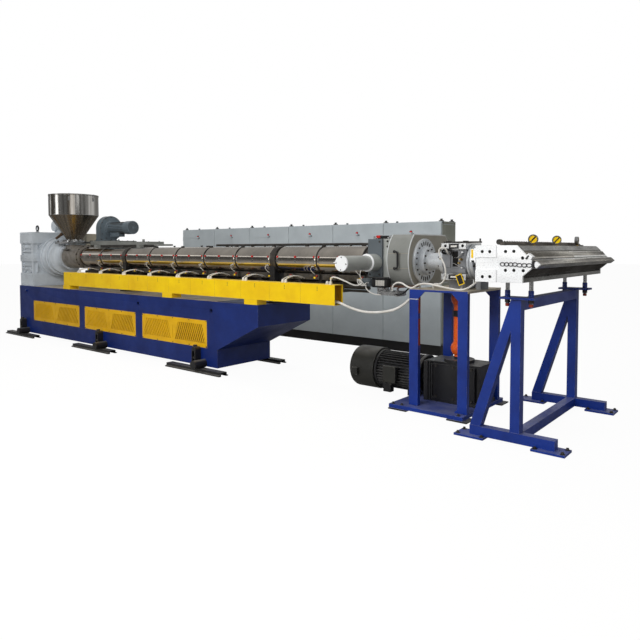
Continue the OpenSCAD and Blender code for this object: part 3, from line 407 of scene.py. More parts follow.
@cache
def wear() -> bpy.types.NodeTree:
    """Group: mask of rubbed edges, 1 - n_bevel . n, broken up by noise."""
    t, given, result = new_group("wear", {"Vector": ORIGIN, "Radius": 0.006, "Amount": 1.0},
                                 ("Mask",))
    bevel = add(t, "Bevel", {"Radius": given["Radius"]}, samples=2)
    normals = {0: bevel.outputs["Normal"], 1: add(t, "NewGeometry").outputs["Normal"]}
    dot = add(t, "VectorMath", normals, operation="DOT_PRODUCT")
    edge = ranged(t, dot.outputs["Value"], 0, 1, 0.995, 0.85)
    noise = add(t, "TexNoise", {"Vector": given["Vector"], "Scale": 30, "Detail": 5})
    broken = product(t, edge, ranged(t, noise.outputs["Fac"], 0, 1, 0.45, 0.62))
    t.links.new(product(t, broken, given["Amount"], clamp=True), result["Mask"])
    return t


@cache
def dust() -> bpy.types.NodeTree:
    """Group: mask of dust that lies on faces that look up, thinned by noise."""
    t, given, result = new_group("dust", {"Vector": ORIGIN, "Amount": 0.5}, ("Mask",))
    split = add(t, "SeparateXYZ", {"Vector": add(t, "NewGeometry").outputs["Normal"]})
    up = ranged(t, split.outputs["Z"], 0, 1, 0.6, 0.98)
    noise = add(t, "TexNoise", {"Vector": given["Vector"], "Scale": 9, "Detail": 7})
    t.links.new(product(t, product(t, up, noise.outputs["Fac"]), given["Amount"]), result["Mask"])
    return t


def place(tree: bpy.types.NodeTree, group: bpy.types.NodeTree, **values: object) -> bpy.types.Node:
    """Puts a group into a material with its own values, and returns the group's node."""
    return feed(tree, add(tree, "Group", node_tree=group), values)


def new_material(name: str) -> tuple:
    """An empty material, its tree, its Principled shader and its object coordinates."""
    m = bpy.data.materials.new(name)
    m.use_nodes = True
    t = m.node_tree
    return m, t, t.nodes["Principled BSDF"], add(t, "TexCoord").outputs["Object"]


def bumped(t: bpy.types.NodeTree, bsdf: bpy.types.Node, height: bpy.types.NodeSocket, depth: float,
           strength: float = 1.0) -> None:
    """Feeds a height to the shader's normal."""
    bump = add(t, "Bump", {"Height": height, "Distance": depth, "Strength": strength})
    t.links.new(bump.outputs["Normal"], bsdf.inputs["Normal"])


@dataclass(frozen=True)
class Finish:
    """What all finishes share.

    Attributes:
        name: the material's name.
        colour: main or light tone.
        shade: tone of stains or of the mottling.
        rough: roughness.
    """

    name: str
    colour: Colour
    shade: Colour
    rough: float = 0.35

    def start(self, scale: float) -> tuple:
        """The material, its tree, shader and coordinates, and its two tones mixed by noise."""
        m, t, bsdf, xyz = new_material(self.name)
        tones = place(t, mottle(), Vector=xyz, Light=rgba(self.colour), Dark=rgba(self.shade),
                      Scale=scale)
        return m, t, bsdf, xyz, tones


@dataclass(frozen=True)
class Paint(Finish):
    """Sprayed paint with slight mottling, orange peel, rubbed edges and dust.

    Attributes:
        chip: colour of rubbed edges.
        wear: how far edges are rubbed.
        dust: how much dust lies on top.
        peel: depth of the orange peel, in metres.
        coat: clear coat weight.
    """

    chip: Colour = (0.45, 0.45, 0.44)
    wear: float = 0.5
    dust: float = 0.35
    peel: float = 0.0004
    coat: float = 0.0

    def build(self) -> bpy.types.Material:
        """Makes the material."""
        m, t, bsdf, xyz, tones = self.start(3.2)
        colour = tones.outputs["Colour"]
        if self.wear > 0:
            edge = place(t, wear(), Vector=xyz, Radius=0.006, Amount=self.wear)
            colour = mixed(t, edge.outputs["Mask"], colour, self.chip)
        if self.dust > 0:
            top = place(t, dust(), Vector=xyz, Amount=self.dust)
            colour = mixed(t, top.outputs["Mask"], colour, (0.5, 0.49, 0.46))
        feed(t, bsdf, {"Base Color": colour, "Coat Weight": self.coat, "Coat Roughness": 0.12,
                       "Roughness": ranged(t, tones.outputs["Mask"], self.rough * 1.25,
                                           self.rough * 0.85)})
        bumped(t, bsdf, noise_of(t, xyz, 260, 2), self.peel)
        return m


@dataclass(frozen=True)
class Steel(Finish):
    """Bare steel, ground, brushed or polished, with stains.

    Attributes:
        grain: stretch of the grain along x, y and z; small numbers run long.
        depth: depth of the grain, in metres.
        stain: scale of the stains.
        metal: metallic share.
    """

    rough: float = 0.25
    grain: Colour = (1.0, 1.0, 1.0)
    depth: float = 0.0002
    stain: float = 5.0
    metal: float = 1.0

    def build(self) -> bpy.types.Material:
        """Makes the material."""
        m, t, bsdf, xyz, tones = self.start(self.stain)
        fine = noise_of(t, xyz, 90, 3, self.grain)
        feed(t, bsdf, {"Base Color": tones.outputs["Colour"], "Metallic": self.metal,
                       "Roughness": ranged(t, fine, self.rough * 0.7, self.rough * 1.4, 0.3, 0.7)})
        bumped(t, bsdf, fine, self.depth)
        return m


@dataclass(frozen=True)
class Plastic(Finish):
    """Moulded plastic or rubber with a fine grain."""

    rough: float = 0.45

    def build(self) -> bpy.types.Material:
        """Makes the material."""
        m, t, bsdf, xyz, tones = self.start(8.0)
        feed(t, bsdf, {"Base Color": tones.outputs["Colour"], "Roughness": self.rough})
        bumped(t, bsdf, noise_of(t, xyz, 400, 2), 0.0003)
        return m


@dataclass(frozen=True)
class Polished(Finish):
    """Mirror-polished cover sheet: slightly wavy, with faint stains and patches of wiping."""

    rough: float = 0.07

    def build(self) -> bpy.types.Material:
        """Makes the material."""
        m, t, bsdf, xyz, tones = self.start(2.4)
        rub = noise_of(t, xyz, 6, 8)
        feed(t, bsdf, {"Base Color": tones.outputs["Colour"], "Metallic": 1.0,
                       "Roughness": ranged(t, rub, self.rough * 0.4, self.rough * 2.6, 0.3, 0.75)})
        bumped(t, bsdf, noise_of(t, xyz, 3.2, 1.5, (0.5, 1, 1)), 0.004, 0.5)
        return m


@dataclass(frozen=True)
class Spun(Finish):
    """Stainless sheet of a turned body, with upright bands of painted reflection.

    Attributes:
        reflected_tone: warm tone of a few broad bands of painted reflection.
        centre: x and y of the turned body, in the row frame.
    """

    reflected_tone: Colour = (0.45, 0.38, 0.3)
    centre: tuple[float, float] = (0.0, 0.0)

    def build(self) -> bpy.types.Material:
        """Makes the material: tone = noise of the angle atan2(y, x) about the body's axis."""
        m, t, bsdf, xyz = new_material(self.name)
        shift = add(t, "Mapping", {"Vector": xyz, "Location": (-self.centre[0], -self.centre[1],
                                                               0)})
        flat = add(t, "VectorMath", {0: shift.outputs["Vector"], 1: (1, 1, 0)},
                   operation="MULTIPLY")
        ring = add(t, "VectorMath", {0: flat.outputs["Vector"]},
                   operation="NORMALIZE").outputs["Vector"]
        # The upright bands by angle and the warm broad bands are painted reflections in the colour.
        reflection_band, wide = noise_of(t, ring, 9, 6), noise_of(t, ring, 2.1, 1)
        base = mixed(t, ranged(t, reflection_band, 0, 1, 0.38, 0.62), self.shade, self.colour)
        rub = noise_of(t, xyz, 30, 4, (1, 1, 0.15))
        feed(t, bsdf, {"Base Color": mixed(t, ranged(t, wide, 0, 0.8, 0.5, 0.62), base, self.reflected_tone),
                       "Metallic": 1.0,
                       "Roughness": ranged(t, rub, self.rough * 0.6, self.rough * 1.6, 0.3, 0.7)})
        bumped(t, bsdf, rub, 0.0006)
        return m


# ---------------------------------------------------------------- pieces

@dataclass(frozen=True)
class Piece:
    """What a finished piece belongs to.

    Attributes:
        slot: material slot of the record; not used.
        nodes: CAD nodes that it stands for.
        body: CAD body that it rides on.
    """

    slot: str
    nodes: tuple[str, ...] = ()
    body: str = "line"


def to_object(name: str, shape: Shape, material: bpy.types.Material, piece: Piece,
              bevel: float = 0.0, sharp: float = 35.0, segments: int = 2) -> bpy.types.Object:
    """Args:
        name: the object's name.
        shape: closed surface in the line's frame.
        material: its finish.
        piece: body, slot and nodes.
        bevel: width of the rounded edges, in metres; 0 leaves them.
        sharp: edges over this angle, in degrees, stay sharp.
        segments: faces across a rounded edge.

    Returns:
        The object.
    """
    mesh = bpy.data.meshes.new(name)
    faces = shape.quads.tolist() + shape.caps
    mesh.from_pydata((shape.verts + LINE_TO_ROW).tolist(), [], faces)
    mesh.update()
    bm = bmesh.new()
    bm.from_mesh(mesh)
    bmesh.ops.recalc_face_normals(bm, faces=bm.faces)
    bm.to_mesh(mesh)
    bm.free()
    return dress(name, mesh, material, piece, bevel, sharp, segments)


def dress(name: str, mesh: bpy.types.Mesh, material: bpy.types.Material, piece: Piece, bevel: float,
          sharp: float, segments: int = 2) -> bpy.types.Object:
    mesh.shade_smooth()
    mesh.set_sharp_from_angle(angle=math.radians(sharp))
    mesh.materials.clear()
    mesh.materials.append(material)
    obj = bpy.data.objects.new(name, mesh)
    bpy.context.scene.collection.objects.link(obj)
    if bevel > 0:
        mod = obj.modifiers.new("edges", "BEVEL")
        mod.width = bevel
        mod.segments = segments
        mod.limit_method = "ANGLE"
        mod.angle_limit = math.radians(sharp)
        mod.use_clamp_overlap = True
        mod.harden_normals = True
    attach(obj, piece.body)
    if piece.nodes:
        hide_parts(*piece.nodes)
    return obj


def from_node(node: str, material: bpy.types.Material, slot: str, body: str = "line",
              bevel: float = 0.003, name: Optional[str] = None) -> bpy.types.Object:
    """A merged copy of a CAD node with rounded edges, which stands for it.

    Args:
        node: the CAD node.
        material: its finish.
        slot: material slot of the record.
        body: body that it rides on.
        bevel: width of the rounded edges, in metres.
        name: the piece's name, else the node's with an ending.

    Returns:
        The new object.
    """
    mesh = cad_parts[node].data.copy()
    bm = bmesh.new()
    bm.from_mesh(mesh)
    bmesh.ops.remove_doubles(bm, verts=bm.verts, dist=1e-5)
    bmesh.ops.dissolve_limit(bm, angle_limit=math.radians(1.0), verts=bm.verts, edges=bm.edges)
    bm.to_mesh(mesh)
    bm.free()
    return dress(name or node + "_dressed", mesh, material, Piece(slot, (node,), body), bevel, 35.0)


def coat_node(node: str, material: bpy.types.Material) -> None:
    """Gives a CAD node that stays in view its finish."""
    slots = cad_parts[node].data.materials
    slots.clear()
    slots.append(material)


class Finishes:
    """All finishes of the line, built once."""

    def __init__(self) -> None:
        """Builds the materials."""
        self.blue = Paint("base_blue", (0.007, 0.038, 0.29), (0.005, 0.024, 0.19), 0.4, wear=0.35,
                          coat=0.05).build()
        self.navy = Paint("frame_blue", (0.005, 0.024, 0.17), (0.003, 0.014, 0.11), 0.42,
                          wear=0.35).build()
        self.yellow = Paint("tray_yellow", (0.97, 0.66, 0.002), (0.82, 0.5, 0.0015), 0.34,
                            wear=0.2).build()
        self.amber = Paint("panel_yellow", (0.85, 0.48, 0.002), (0.7, 0.38, 0.0015), 0.38,
                           wear=0.2).build()
        # A darker copy of the yellow paint: painted shade for the louvre slats, the gaps between
        # tray covers and the tray's open end.
        self.shaded_yellow = Paint("yellow_in_shade", (0.36, 0.17, 0.003), (0.2, 0.09, 0.002), 0.5,
                          wear=0.1).build()
        self.deck = Steel("deck_sheet", (0.75, 0.66, 0.52), (0.42, 0.37, 0.29), 0.42, depth=0.0006,
                          metal=0.4).build()
        self.slate = Paint("changer_slate", (0.11, 0.129, 0.144), (0.077, 0.093, 0.103), 0.42,
                           wear=0.4).build()
        self.enamel = Paint("ram_white", (0.9, 0.91, 0.92), (0.82, 0.83, 0.84), 0.3, wear=0.05,
                            coat=0.3).build()
        self.cast = Paint("gear_grey", (0.66, 0.71, 0.76), (0.5, 0.54, 0.58), 0.42, wear=0.3,
                          peel=0.0008).build()
        self.beige = Paint("drive_beige", (0.52, 0.48, 0.38), (0.4, 0.36, 0.28), 0.45).build()
        self.black = Paint("black_paint", (0.018, 0.018, 0.02), (0.008, 0.008, 0.009), 0.38,
                           wear=0.5, chip=(0.2, 0.2, 0.2)).build()
        self.blue_grey = Paint("blower_grey", (0.125, 0.16, 0.185), (0.085, 0.107, 0.125), 0.4,
                               peel=0.0008).build()
        self.warm_grey = Paint("guard_grey", (0.385, 0.4, 0.38), (0.31, 0.32, 0.3), 0.36,
                               coat=0.2).build()
        self.hood = Paint("hood_grey", (0.24, 0.245, 0.23), (0.18, 0.185, 0.17), 0.36,
                          coat=0.15).build()
        self.cabinet = Paint("cabinet_grey", (0.48, 0.53, 0.555), (0.42, 0.465, 0.49), 0.42,
                             wear=0.15, dust=0.2, peel=0.0005).build()
        # A darker, olive copy of the cabinet grey for the right end wall: painted shade.
        self.shaded_cabinet = Paint("cabinet_side_shaded", (0.31, 0.325, 0.275), (0.24, 0.25, 0.21), 0.45,
                           wear=0.15).build()
        self.orange = Paint("cardan_orange", (0.85, 0.13, 0.012), (0.6, 0.075, 0.008), 0.3,
                            wear=0.5, chip=(0.25, 0.2, 0.18)).build()
        self.red = Paint("signal_red", (0.6, 0.02, 0.015), (0.4, 0.012, 0.01), 0.25, coat=0.5,
                         wear=0).build()
        self.white = Plastic("cable_white", (0.74, 0.72, 0.68), (0.58, 0.56, 0.51), 0.42).build()
        self.rubber = Plastic("rubber", (0.02, 0.02, 0.02), (0.01, 0.01, 0.011), 0.6).build()
        self.hose_brown = Plastic("brown_hose", (0.12, 0.05, 0.03), (0.06, 0.03, 0.02), 0.5).build()
        self.steel = Steel("machined_steel", (0.62, 0.63, 0.64), (0.4, 0.4, 0.41), 0.26).build()
        self.bright = Steel("bright_plate", (0.86, 0.87, 0.88), (0.66, 0.67, 0.68), 0.2).build()
        self.dark = Steel("dark_steel", (0.1, 0.095, 0.09), (0.04, 0.035, 0.03), 0.42, depth=0.0006,
                          metal=0.6).build()
        self.brass = Steel("brass", (0.7, 0.5, 0.2), (0.45, 0.3, 0.1), 0.28).build()
        self.flange_dark = Steel("flange_dark", (0.2, 0.18, 0.16), (0.07, 0.06, 0.055), 0.34,
                                 metal=0.85).build()
        self.channel = Steel("channel_steel", (0.2, 0.19, 0.18), (0.06, 0.055, 0.05), 0.35,
                             metal=0.8).build()
        self.turned = Steel("turned_steel", (0.78, 0.81, 0.84), (0.56, 0.59, 0.62), 0.33,
                            grain=(14, 1, 1), metal=0.55).build()
        self.iron = Steel("pump_iron", (0.33, 0.34, 0.36), (0.18, 0.185, 0.195), 0.4, depth=0.0005,
                          metal=0.55).build()
        self.casting = Steel("feed_casting", (0.4, 0.37, 0.33), (0.2, 0.175, 0.15), 0.45,
                             depth=0.0006, metal=0.6, stain=9).build()
        # Near-white, mostly diffuse steel for the die's end plates: painted glare in place of their
        # bright reflection.
        self.mirror = Steel("end_plate_painted_glare", (0.98, 0.985, 0.99), (0.94, 0.96, 0.98), 0.3,
                            depth=0.00002, metal=0.2).build()
        self.die_top = Steel("die_upper_steel", (0.5, 0.47, 0.4), (0.1, 0.085, 0.06), 0.2,
                             depth=0.0001, stain=2.2).build()
        # Near-white steel for the far lip strips and the far half of the flat bar: a painted
        # highlight.
        self.lip = Steel("lip_steel_highlight", (0.95, 0.96, 0.94), (0.75, 0.75, 0.72), 0.3, depth=0.0001,
                         stain=2, metal=0.3).build()
        self.die_low = Steel("die_lower_steel", (0.4, 0.4, 0.39), (0.16, 0.16, 0.155), 0.3,
                             stain=5).build()
        self.motor = Paint("motor_black", (0.028, 0.028, 0.024), (0.014, 0.014, 0.013), 0.4,
                           wear=0.4).build()
        # Near-black painted shade for the inside of holes, slots, counterbores, openings, the feed
        # cavity and the die's parting joint.
        self.recess_shade = Plastic("recess_shade_black", (0.006, 0.006, 0.006), (0.002, 0.002, 0.002),
                            0.7).build()
        self.rim = Paint("guard_rim", (0.62, 0.64, 0.64), (0.5, 0.52, 0.52), 0.22, wear=0,
                         coat=0.3).build()
        self.beige_grey = Paint("guard_panel_grey", (0.32, 0.3, 0.25), (0.26, 0.245, 0.2), 0.4,
                                wear=0.1).build()
        self.red_dull = Paint("plug_red", (0.34, 0.04, 0.02), (0.2, 0.025, 0.012), 0.45,
                              wear=0).build()
        self.heat = Steel("heat_tinted", (0.3, 0.2, 0.13), (0.12, 0.08, 0.06), 0.3).build()


# ---------------------------------------------------------------- cords

@dataclass(frozen=True)
class Cord:
    """A free cable that follows the route of its CAD node.

    Attributes:
        node: its CAD node.
        base: start of the route's frame, in millimetres in the line's frame.
        route: points past base, in millimetres.
        diameter: in metres.
        lay: how it lies; not used.
        stiffness: how readily it bends; not used.
    """

    node: str
    base: Colour
    route: tuple[Colour, ...]
    diameter: float
    lay: str
    stiffness: str = "medium"

    def points(self) -> np.ndarray:
        """The route in metres in the row frame."""
        return (np.array(self.base) + np.array(self.route)) / 1000 + LINE_TO_ROW

    def build(self, material: bpy.types.Material) -> bpy.types.Object:
        """Makes the cable as one smooth curve through the route's points."""
        p = self.points()
        curve = bpy.data.curves.new(self.node + "_jacket", "CURVE")
        curve.dimensions = "3D"
        curve.bevel_depth = self.diameter / 2
        curve.bevel_resolution = 4
        curve.resolution_u = 8
        curve.use_fill_caps = True
        spline = curve.splines.new("BEZIER")
        spline.bezier_points.add(len(p) - 1)
        for knot, at in zip(spline.bezier_points, p):
            knot.co = at
            knot.handle_left_type = knot.handle_right_type = "AUTO"
        curve.materials.append(material)
        obj = bpy.data.objects.new(self.node + "_jacket", curve)
        bpy.context.scene.collection.objects.link(obj)
        bpy.context.view_layer.update()
        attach(obj, "line")
        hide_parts(self.node)
        return obj


CORDS = (
    Cord("tray_cable", (7582, -400, 976), ((-222, 0, 24), (-172, 0, 30), (-122, 0, 26), (-42, 0, 2),
                                           (43, 1, -22), (131, 4, -40), (232, 9, -49),
                                           (334, 16, -45), (418, 22, -35), (494, 30, -20),
                                           (558, 38, 2), (615, 45, 34), (663, 50, 69),
                                           (706, 53, 108)), 0.028, "hanging"),
    Cord("die_cable", (8330, -322, 1184), ((-278, 26, -31.5), (-271, 23, 12), (-245, 18, 38),
                                           (-200, 10, 54), (-150, 2, 50), (-105, -4, 30),
                                           (-60, -8, 12), (-22, -10, 12), (40, -8, 44),
                                           (132, -8, 56), (238, -8, 42), (359, -8, 22),
                                           (476, -8, 11), (530, -14, 20), (600, -36, 50),
                                           (680, -80, 100), (760, -140, 162), (850, -210, 222),
                                           (915, -250, 246), (972, -270, 250)), 0.018, "loose"),
    Cord("pump_lead", (8530, -158, 1184), ((-62, -52, 1.8), (-60, -53, 26), (-46, -66, 46),
                                           (-10, -90, 52), (38, -104, 54), (75, -106, 82),
                                           (94, -106, 130), (98, -106, 175), (88, -106, 230),
                                           (64, -106, 280), (42, -106, 320), (28, -106, 362),
                                           (36, -104, 392), (62, -98, 402), (84, -80, 388),
                                           (88, -50, 356), (86, -26, 344), (84, -5.4, 342)), 0.016,
         "loose", "limp"),
    Cord("gland_cable", (7342, -402.5, 1230), ((0, 0, 0), (3, 0, 26), (22, 2, 42), (56, 6, 42),
                                               (110, 12, 28), (185, 34, -2), (238, 66, -30),
                                               (270, 96, -40), (298, 118, -30), (307, 131, -18),
                                               (308, 140.6, -15)), 0.016, "hanging", "limp"),
)


# ---------------------------------------------------------------- studio

@dataclass
class Studio:
    """Camera, lamps, floor and background.

    Attributes:
        eye: the camera's place in the line's frame.
        azimuth: angle that it looks left of +y, in degrees.
        pitch: angle that it looks down, in degrees.
        roll: its turn about the line of sight, in degrees.
        lens: focal length for a picture 36 mm wide.
        shift: upward shift of the lens, as a share of the picture.
        floor_half: half the floor's width.
    """

    eye: Colour = (11.257, -5.335, 1.574)
    azimuth: float = 39.496
    pitch: float = 2.521
    roll: float = -0.083
    lens: float = 32.99
    shift: float = -0.0703
    floor_half: float = 60.0

    def camera(self) -> None:
        """Places the camera where the photograph was taken from."""
        cam = bpy.data.cameras.new("camera")
        cam.sensor_width = 36
        cam.lens = self.lens
        cam.shift_y = self.shift
        cam.clip_end = 200
        obj = bpy.data.objects.new("camera", cam)
        a, p = math.radians(self.azimuth), math.radians(self.pitch)
        way = Vector((-math.sin(a) * math.cos(p), math.cos(a) * math.cos(p), -math.sin(p)))
        level = way.to_track_quat("-Z", "Y")
        obj.location = Vector(np.array(self.eye) + LINE_TO_ROW)
        obj.rotation_mode = "QUATERNION"
        obj.rotation_quaternion = level @ Quaternion((0, 0, 1), math.radians(self.roll))
        bpy.context.scene.collection.objects.link(obj)
        bpy.context.scene.camera = obj

    def lamp(self, name: str, at: Colour, target: Colour, size: tuple[float, float], power: float,
             glossy: bool = True) -> None:
        """An area lamp that looks at a point of the line; glossy tells if reflections show it."""
        data = bpy.data.lights.new(name, "AREA")
        data.shape = "RECTANGLE"
        data.size, data.size_y = size
        data.energy = power
        obj = bpy.data.objects.new(name, data)
        start = Vector(np.array(at) + LINE_TO_ROW)
        way = Vector(np.array(target) + LINE_TO_ROW) - start
        obj.location = start
        obj.rotation_euler = way.to_track_quat("-Z", "Y").to_euler()
        obj.visible_glossy = glossy
        bpy.context.scene.collection.objects.link(obj)

    def world(self) -> None:
        """White for the camera; for light and reflections a hall with a bright band of windows.

        The level follows the height of the direction z. Near the horizon it also follows the
        azimuth, so that round parts get upright bands and level ones get lines.
        """
        w = bpy.data.worlds.new("hall")
        bpy.context.scene.world = w
        w.use_nodes = True
        t = w.node_tree
        t.nodes.clear()
        way = add(t, "SeparateXYZ", {"Vector": add(t, "TexCoord").outputs["Generated"]}).outputs
        height = self.levels(t, way["Z"], ((0.0, 0.06), (0.2, 0.12), (0.255, 0.2), (0.275, 1.6),
                                           (0.315, 1.6), (0.345, 0.4), (0.6, 0.45), (1.0, 0.6)))
        angle = add(t, "Math", {0: way["Y"], 1: way["X"]}, operation="ARCTAN2").outputs["Value"]
        bands = ((-180, 0.15), (-165, 0.2), (-161, 1.3), (-156, 1.3), (-152, 0.12), (-120.5, 0.1),
                 (-118, 2.6), (-106, 2.6), (-102, 0.2), (-50, 0.12), (-40, 1.3), (-26, 1.3),
                 (-20, 0.2), (0, 0.24), (16, 0.24), (22, 0.2), (60, 0.9), (90, 0.4), (180, 0.15))
        around = self.levels(t, ranged(t, angle, 0.0, 1.0, -math.pi, math.pi),
                             tuple(((a + 180) / 360, level) for a, level in bands))
        sky = mixed(t, ranged(t, way["Z"], 1.0, 0.0, 0.12, 0.24), height, around)
        hall = add(t, "Background", {"Color": sky, "Strength": 0.72})
        white = add(t, "Background", {"Color": (1, 1, 1, 1)})
        both = self.by_ray(t, 1.0, hall.outputs["Background"], white.outputs["Background"])
        add(t, "OutputWorld", {"Surface": both})

    @staticmethod
    def by_ray(t: bpy.types.NodeTree, share: float, others: bpy.types.NodeSocket,
               camera: bpy.types.NodeSocket) -> bpy.types.NodeSocket:
        """A mix of two shaders by the kind of ray.

        Args:
            t: node tree.
            share: how much of the second shader the camera sees.
            others: shader that all other rays meet.
            camera: shader for the camera.

        Returns:
            The mixed shader's socket.
        """
        seen = add(t, "LightPath").outputs["Is Camera Ray"]
        if share < 1:
            seen = ranged(t, seen, 0.0, share)
        return add(t, "MixShader", {"Fac": seen, 1: others, 2: camera}).outputs["Shader"]

    @staticmethod
    def levels(t: bpy.types.NodeTree, value: bpy.types.NodeSocket,
               stops: tuple[tuple[float, float], ...]) -> bpy.types.NodeSocket:
        """A grey ramp over a value.

        Args:
            t: node tree.
            value: socket that runs from 0 to 1.
            stops: places and levels.

        Returns:
            The ramp's colour socket.
        """
        ramp = t.nodes.new("ShaderNodeValToRGB")
        for i, (at, level) in enumerate(stops):
            stop = ramp.color_ramp.elements[i] if i < 2 else ramp.color_ramp.elements.new(at)
            stop.position = at
            stop.color = (level, level * 0.99, level * 0.97, 1)
        t.links.new(value, ramp.inputs["Fac"])
        return ramp.outputs["Color"]

    def floor(self) -> None:
        """A plain pale floor that keeps a soft shadow."""
        mesh = bpy.data.meshes.new("floor")
        r = self.floor_half
        mesh.from_pydata([(-r, -r, 0), (r, -r, 0), (r, r, 0), (-r, r, 0)], [], [(0, 1, 2, 3)])
        m, t, bsdf, _ = new_material("floor_white")
        feed(t, bsdf, {"Roughness": 0.7, "Specular IOR Level": 0.2, "Base Color": (0.3, 0.295,
                                                                                   0.285, 1)})
        glow = add(t, "Emission", {"Color": (1, 1, 1, 1), "Strength": 1.12})
        both = self.by_ray(t, 0.85, bsdf.outputs["BSDF"], glow.outputs["Emission"])
        t.links.new(both, t.nodes["Material Output"].inputs["Surface"])
        mesh.materials.append(m)
        obj = bpy.data.objects.new("floor", mesh)
        bpy.context.scene.collection.objects.link(obj)

    def build(self) -> None:
        """Sets up the whole studio."""
        bpy.context.scene.view_settings.view_transform = "Standard"
        self.camera()
        self.world()
        self.floor()
        self.lamp("key", (6.2, -7.5, 5.2), (6.2, 0, 1.0), (5.0, 3.0), 420, False)
        self.lamp("right_fill", (13.5, -2.0, 4.5), (8.5, 0, 1.0), (3.0, 3.0), 28)
        self.lamp("near_fill", (9.9, -6.2, 3.4), (9.2, -0.8, 1.1), (2.5, 2.5), 80, False)
        self.lamp("top", (5.0, 0.5, 7.5), (5.0, 0.5, 0), (10.0, 2.0), 210, False)


# ---------------------------------------------------------------- barrel

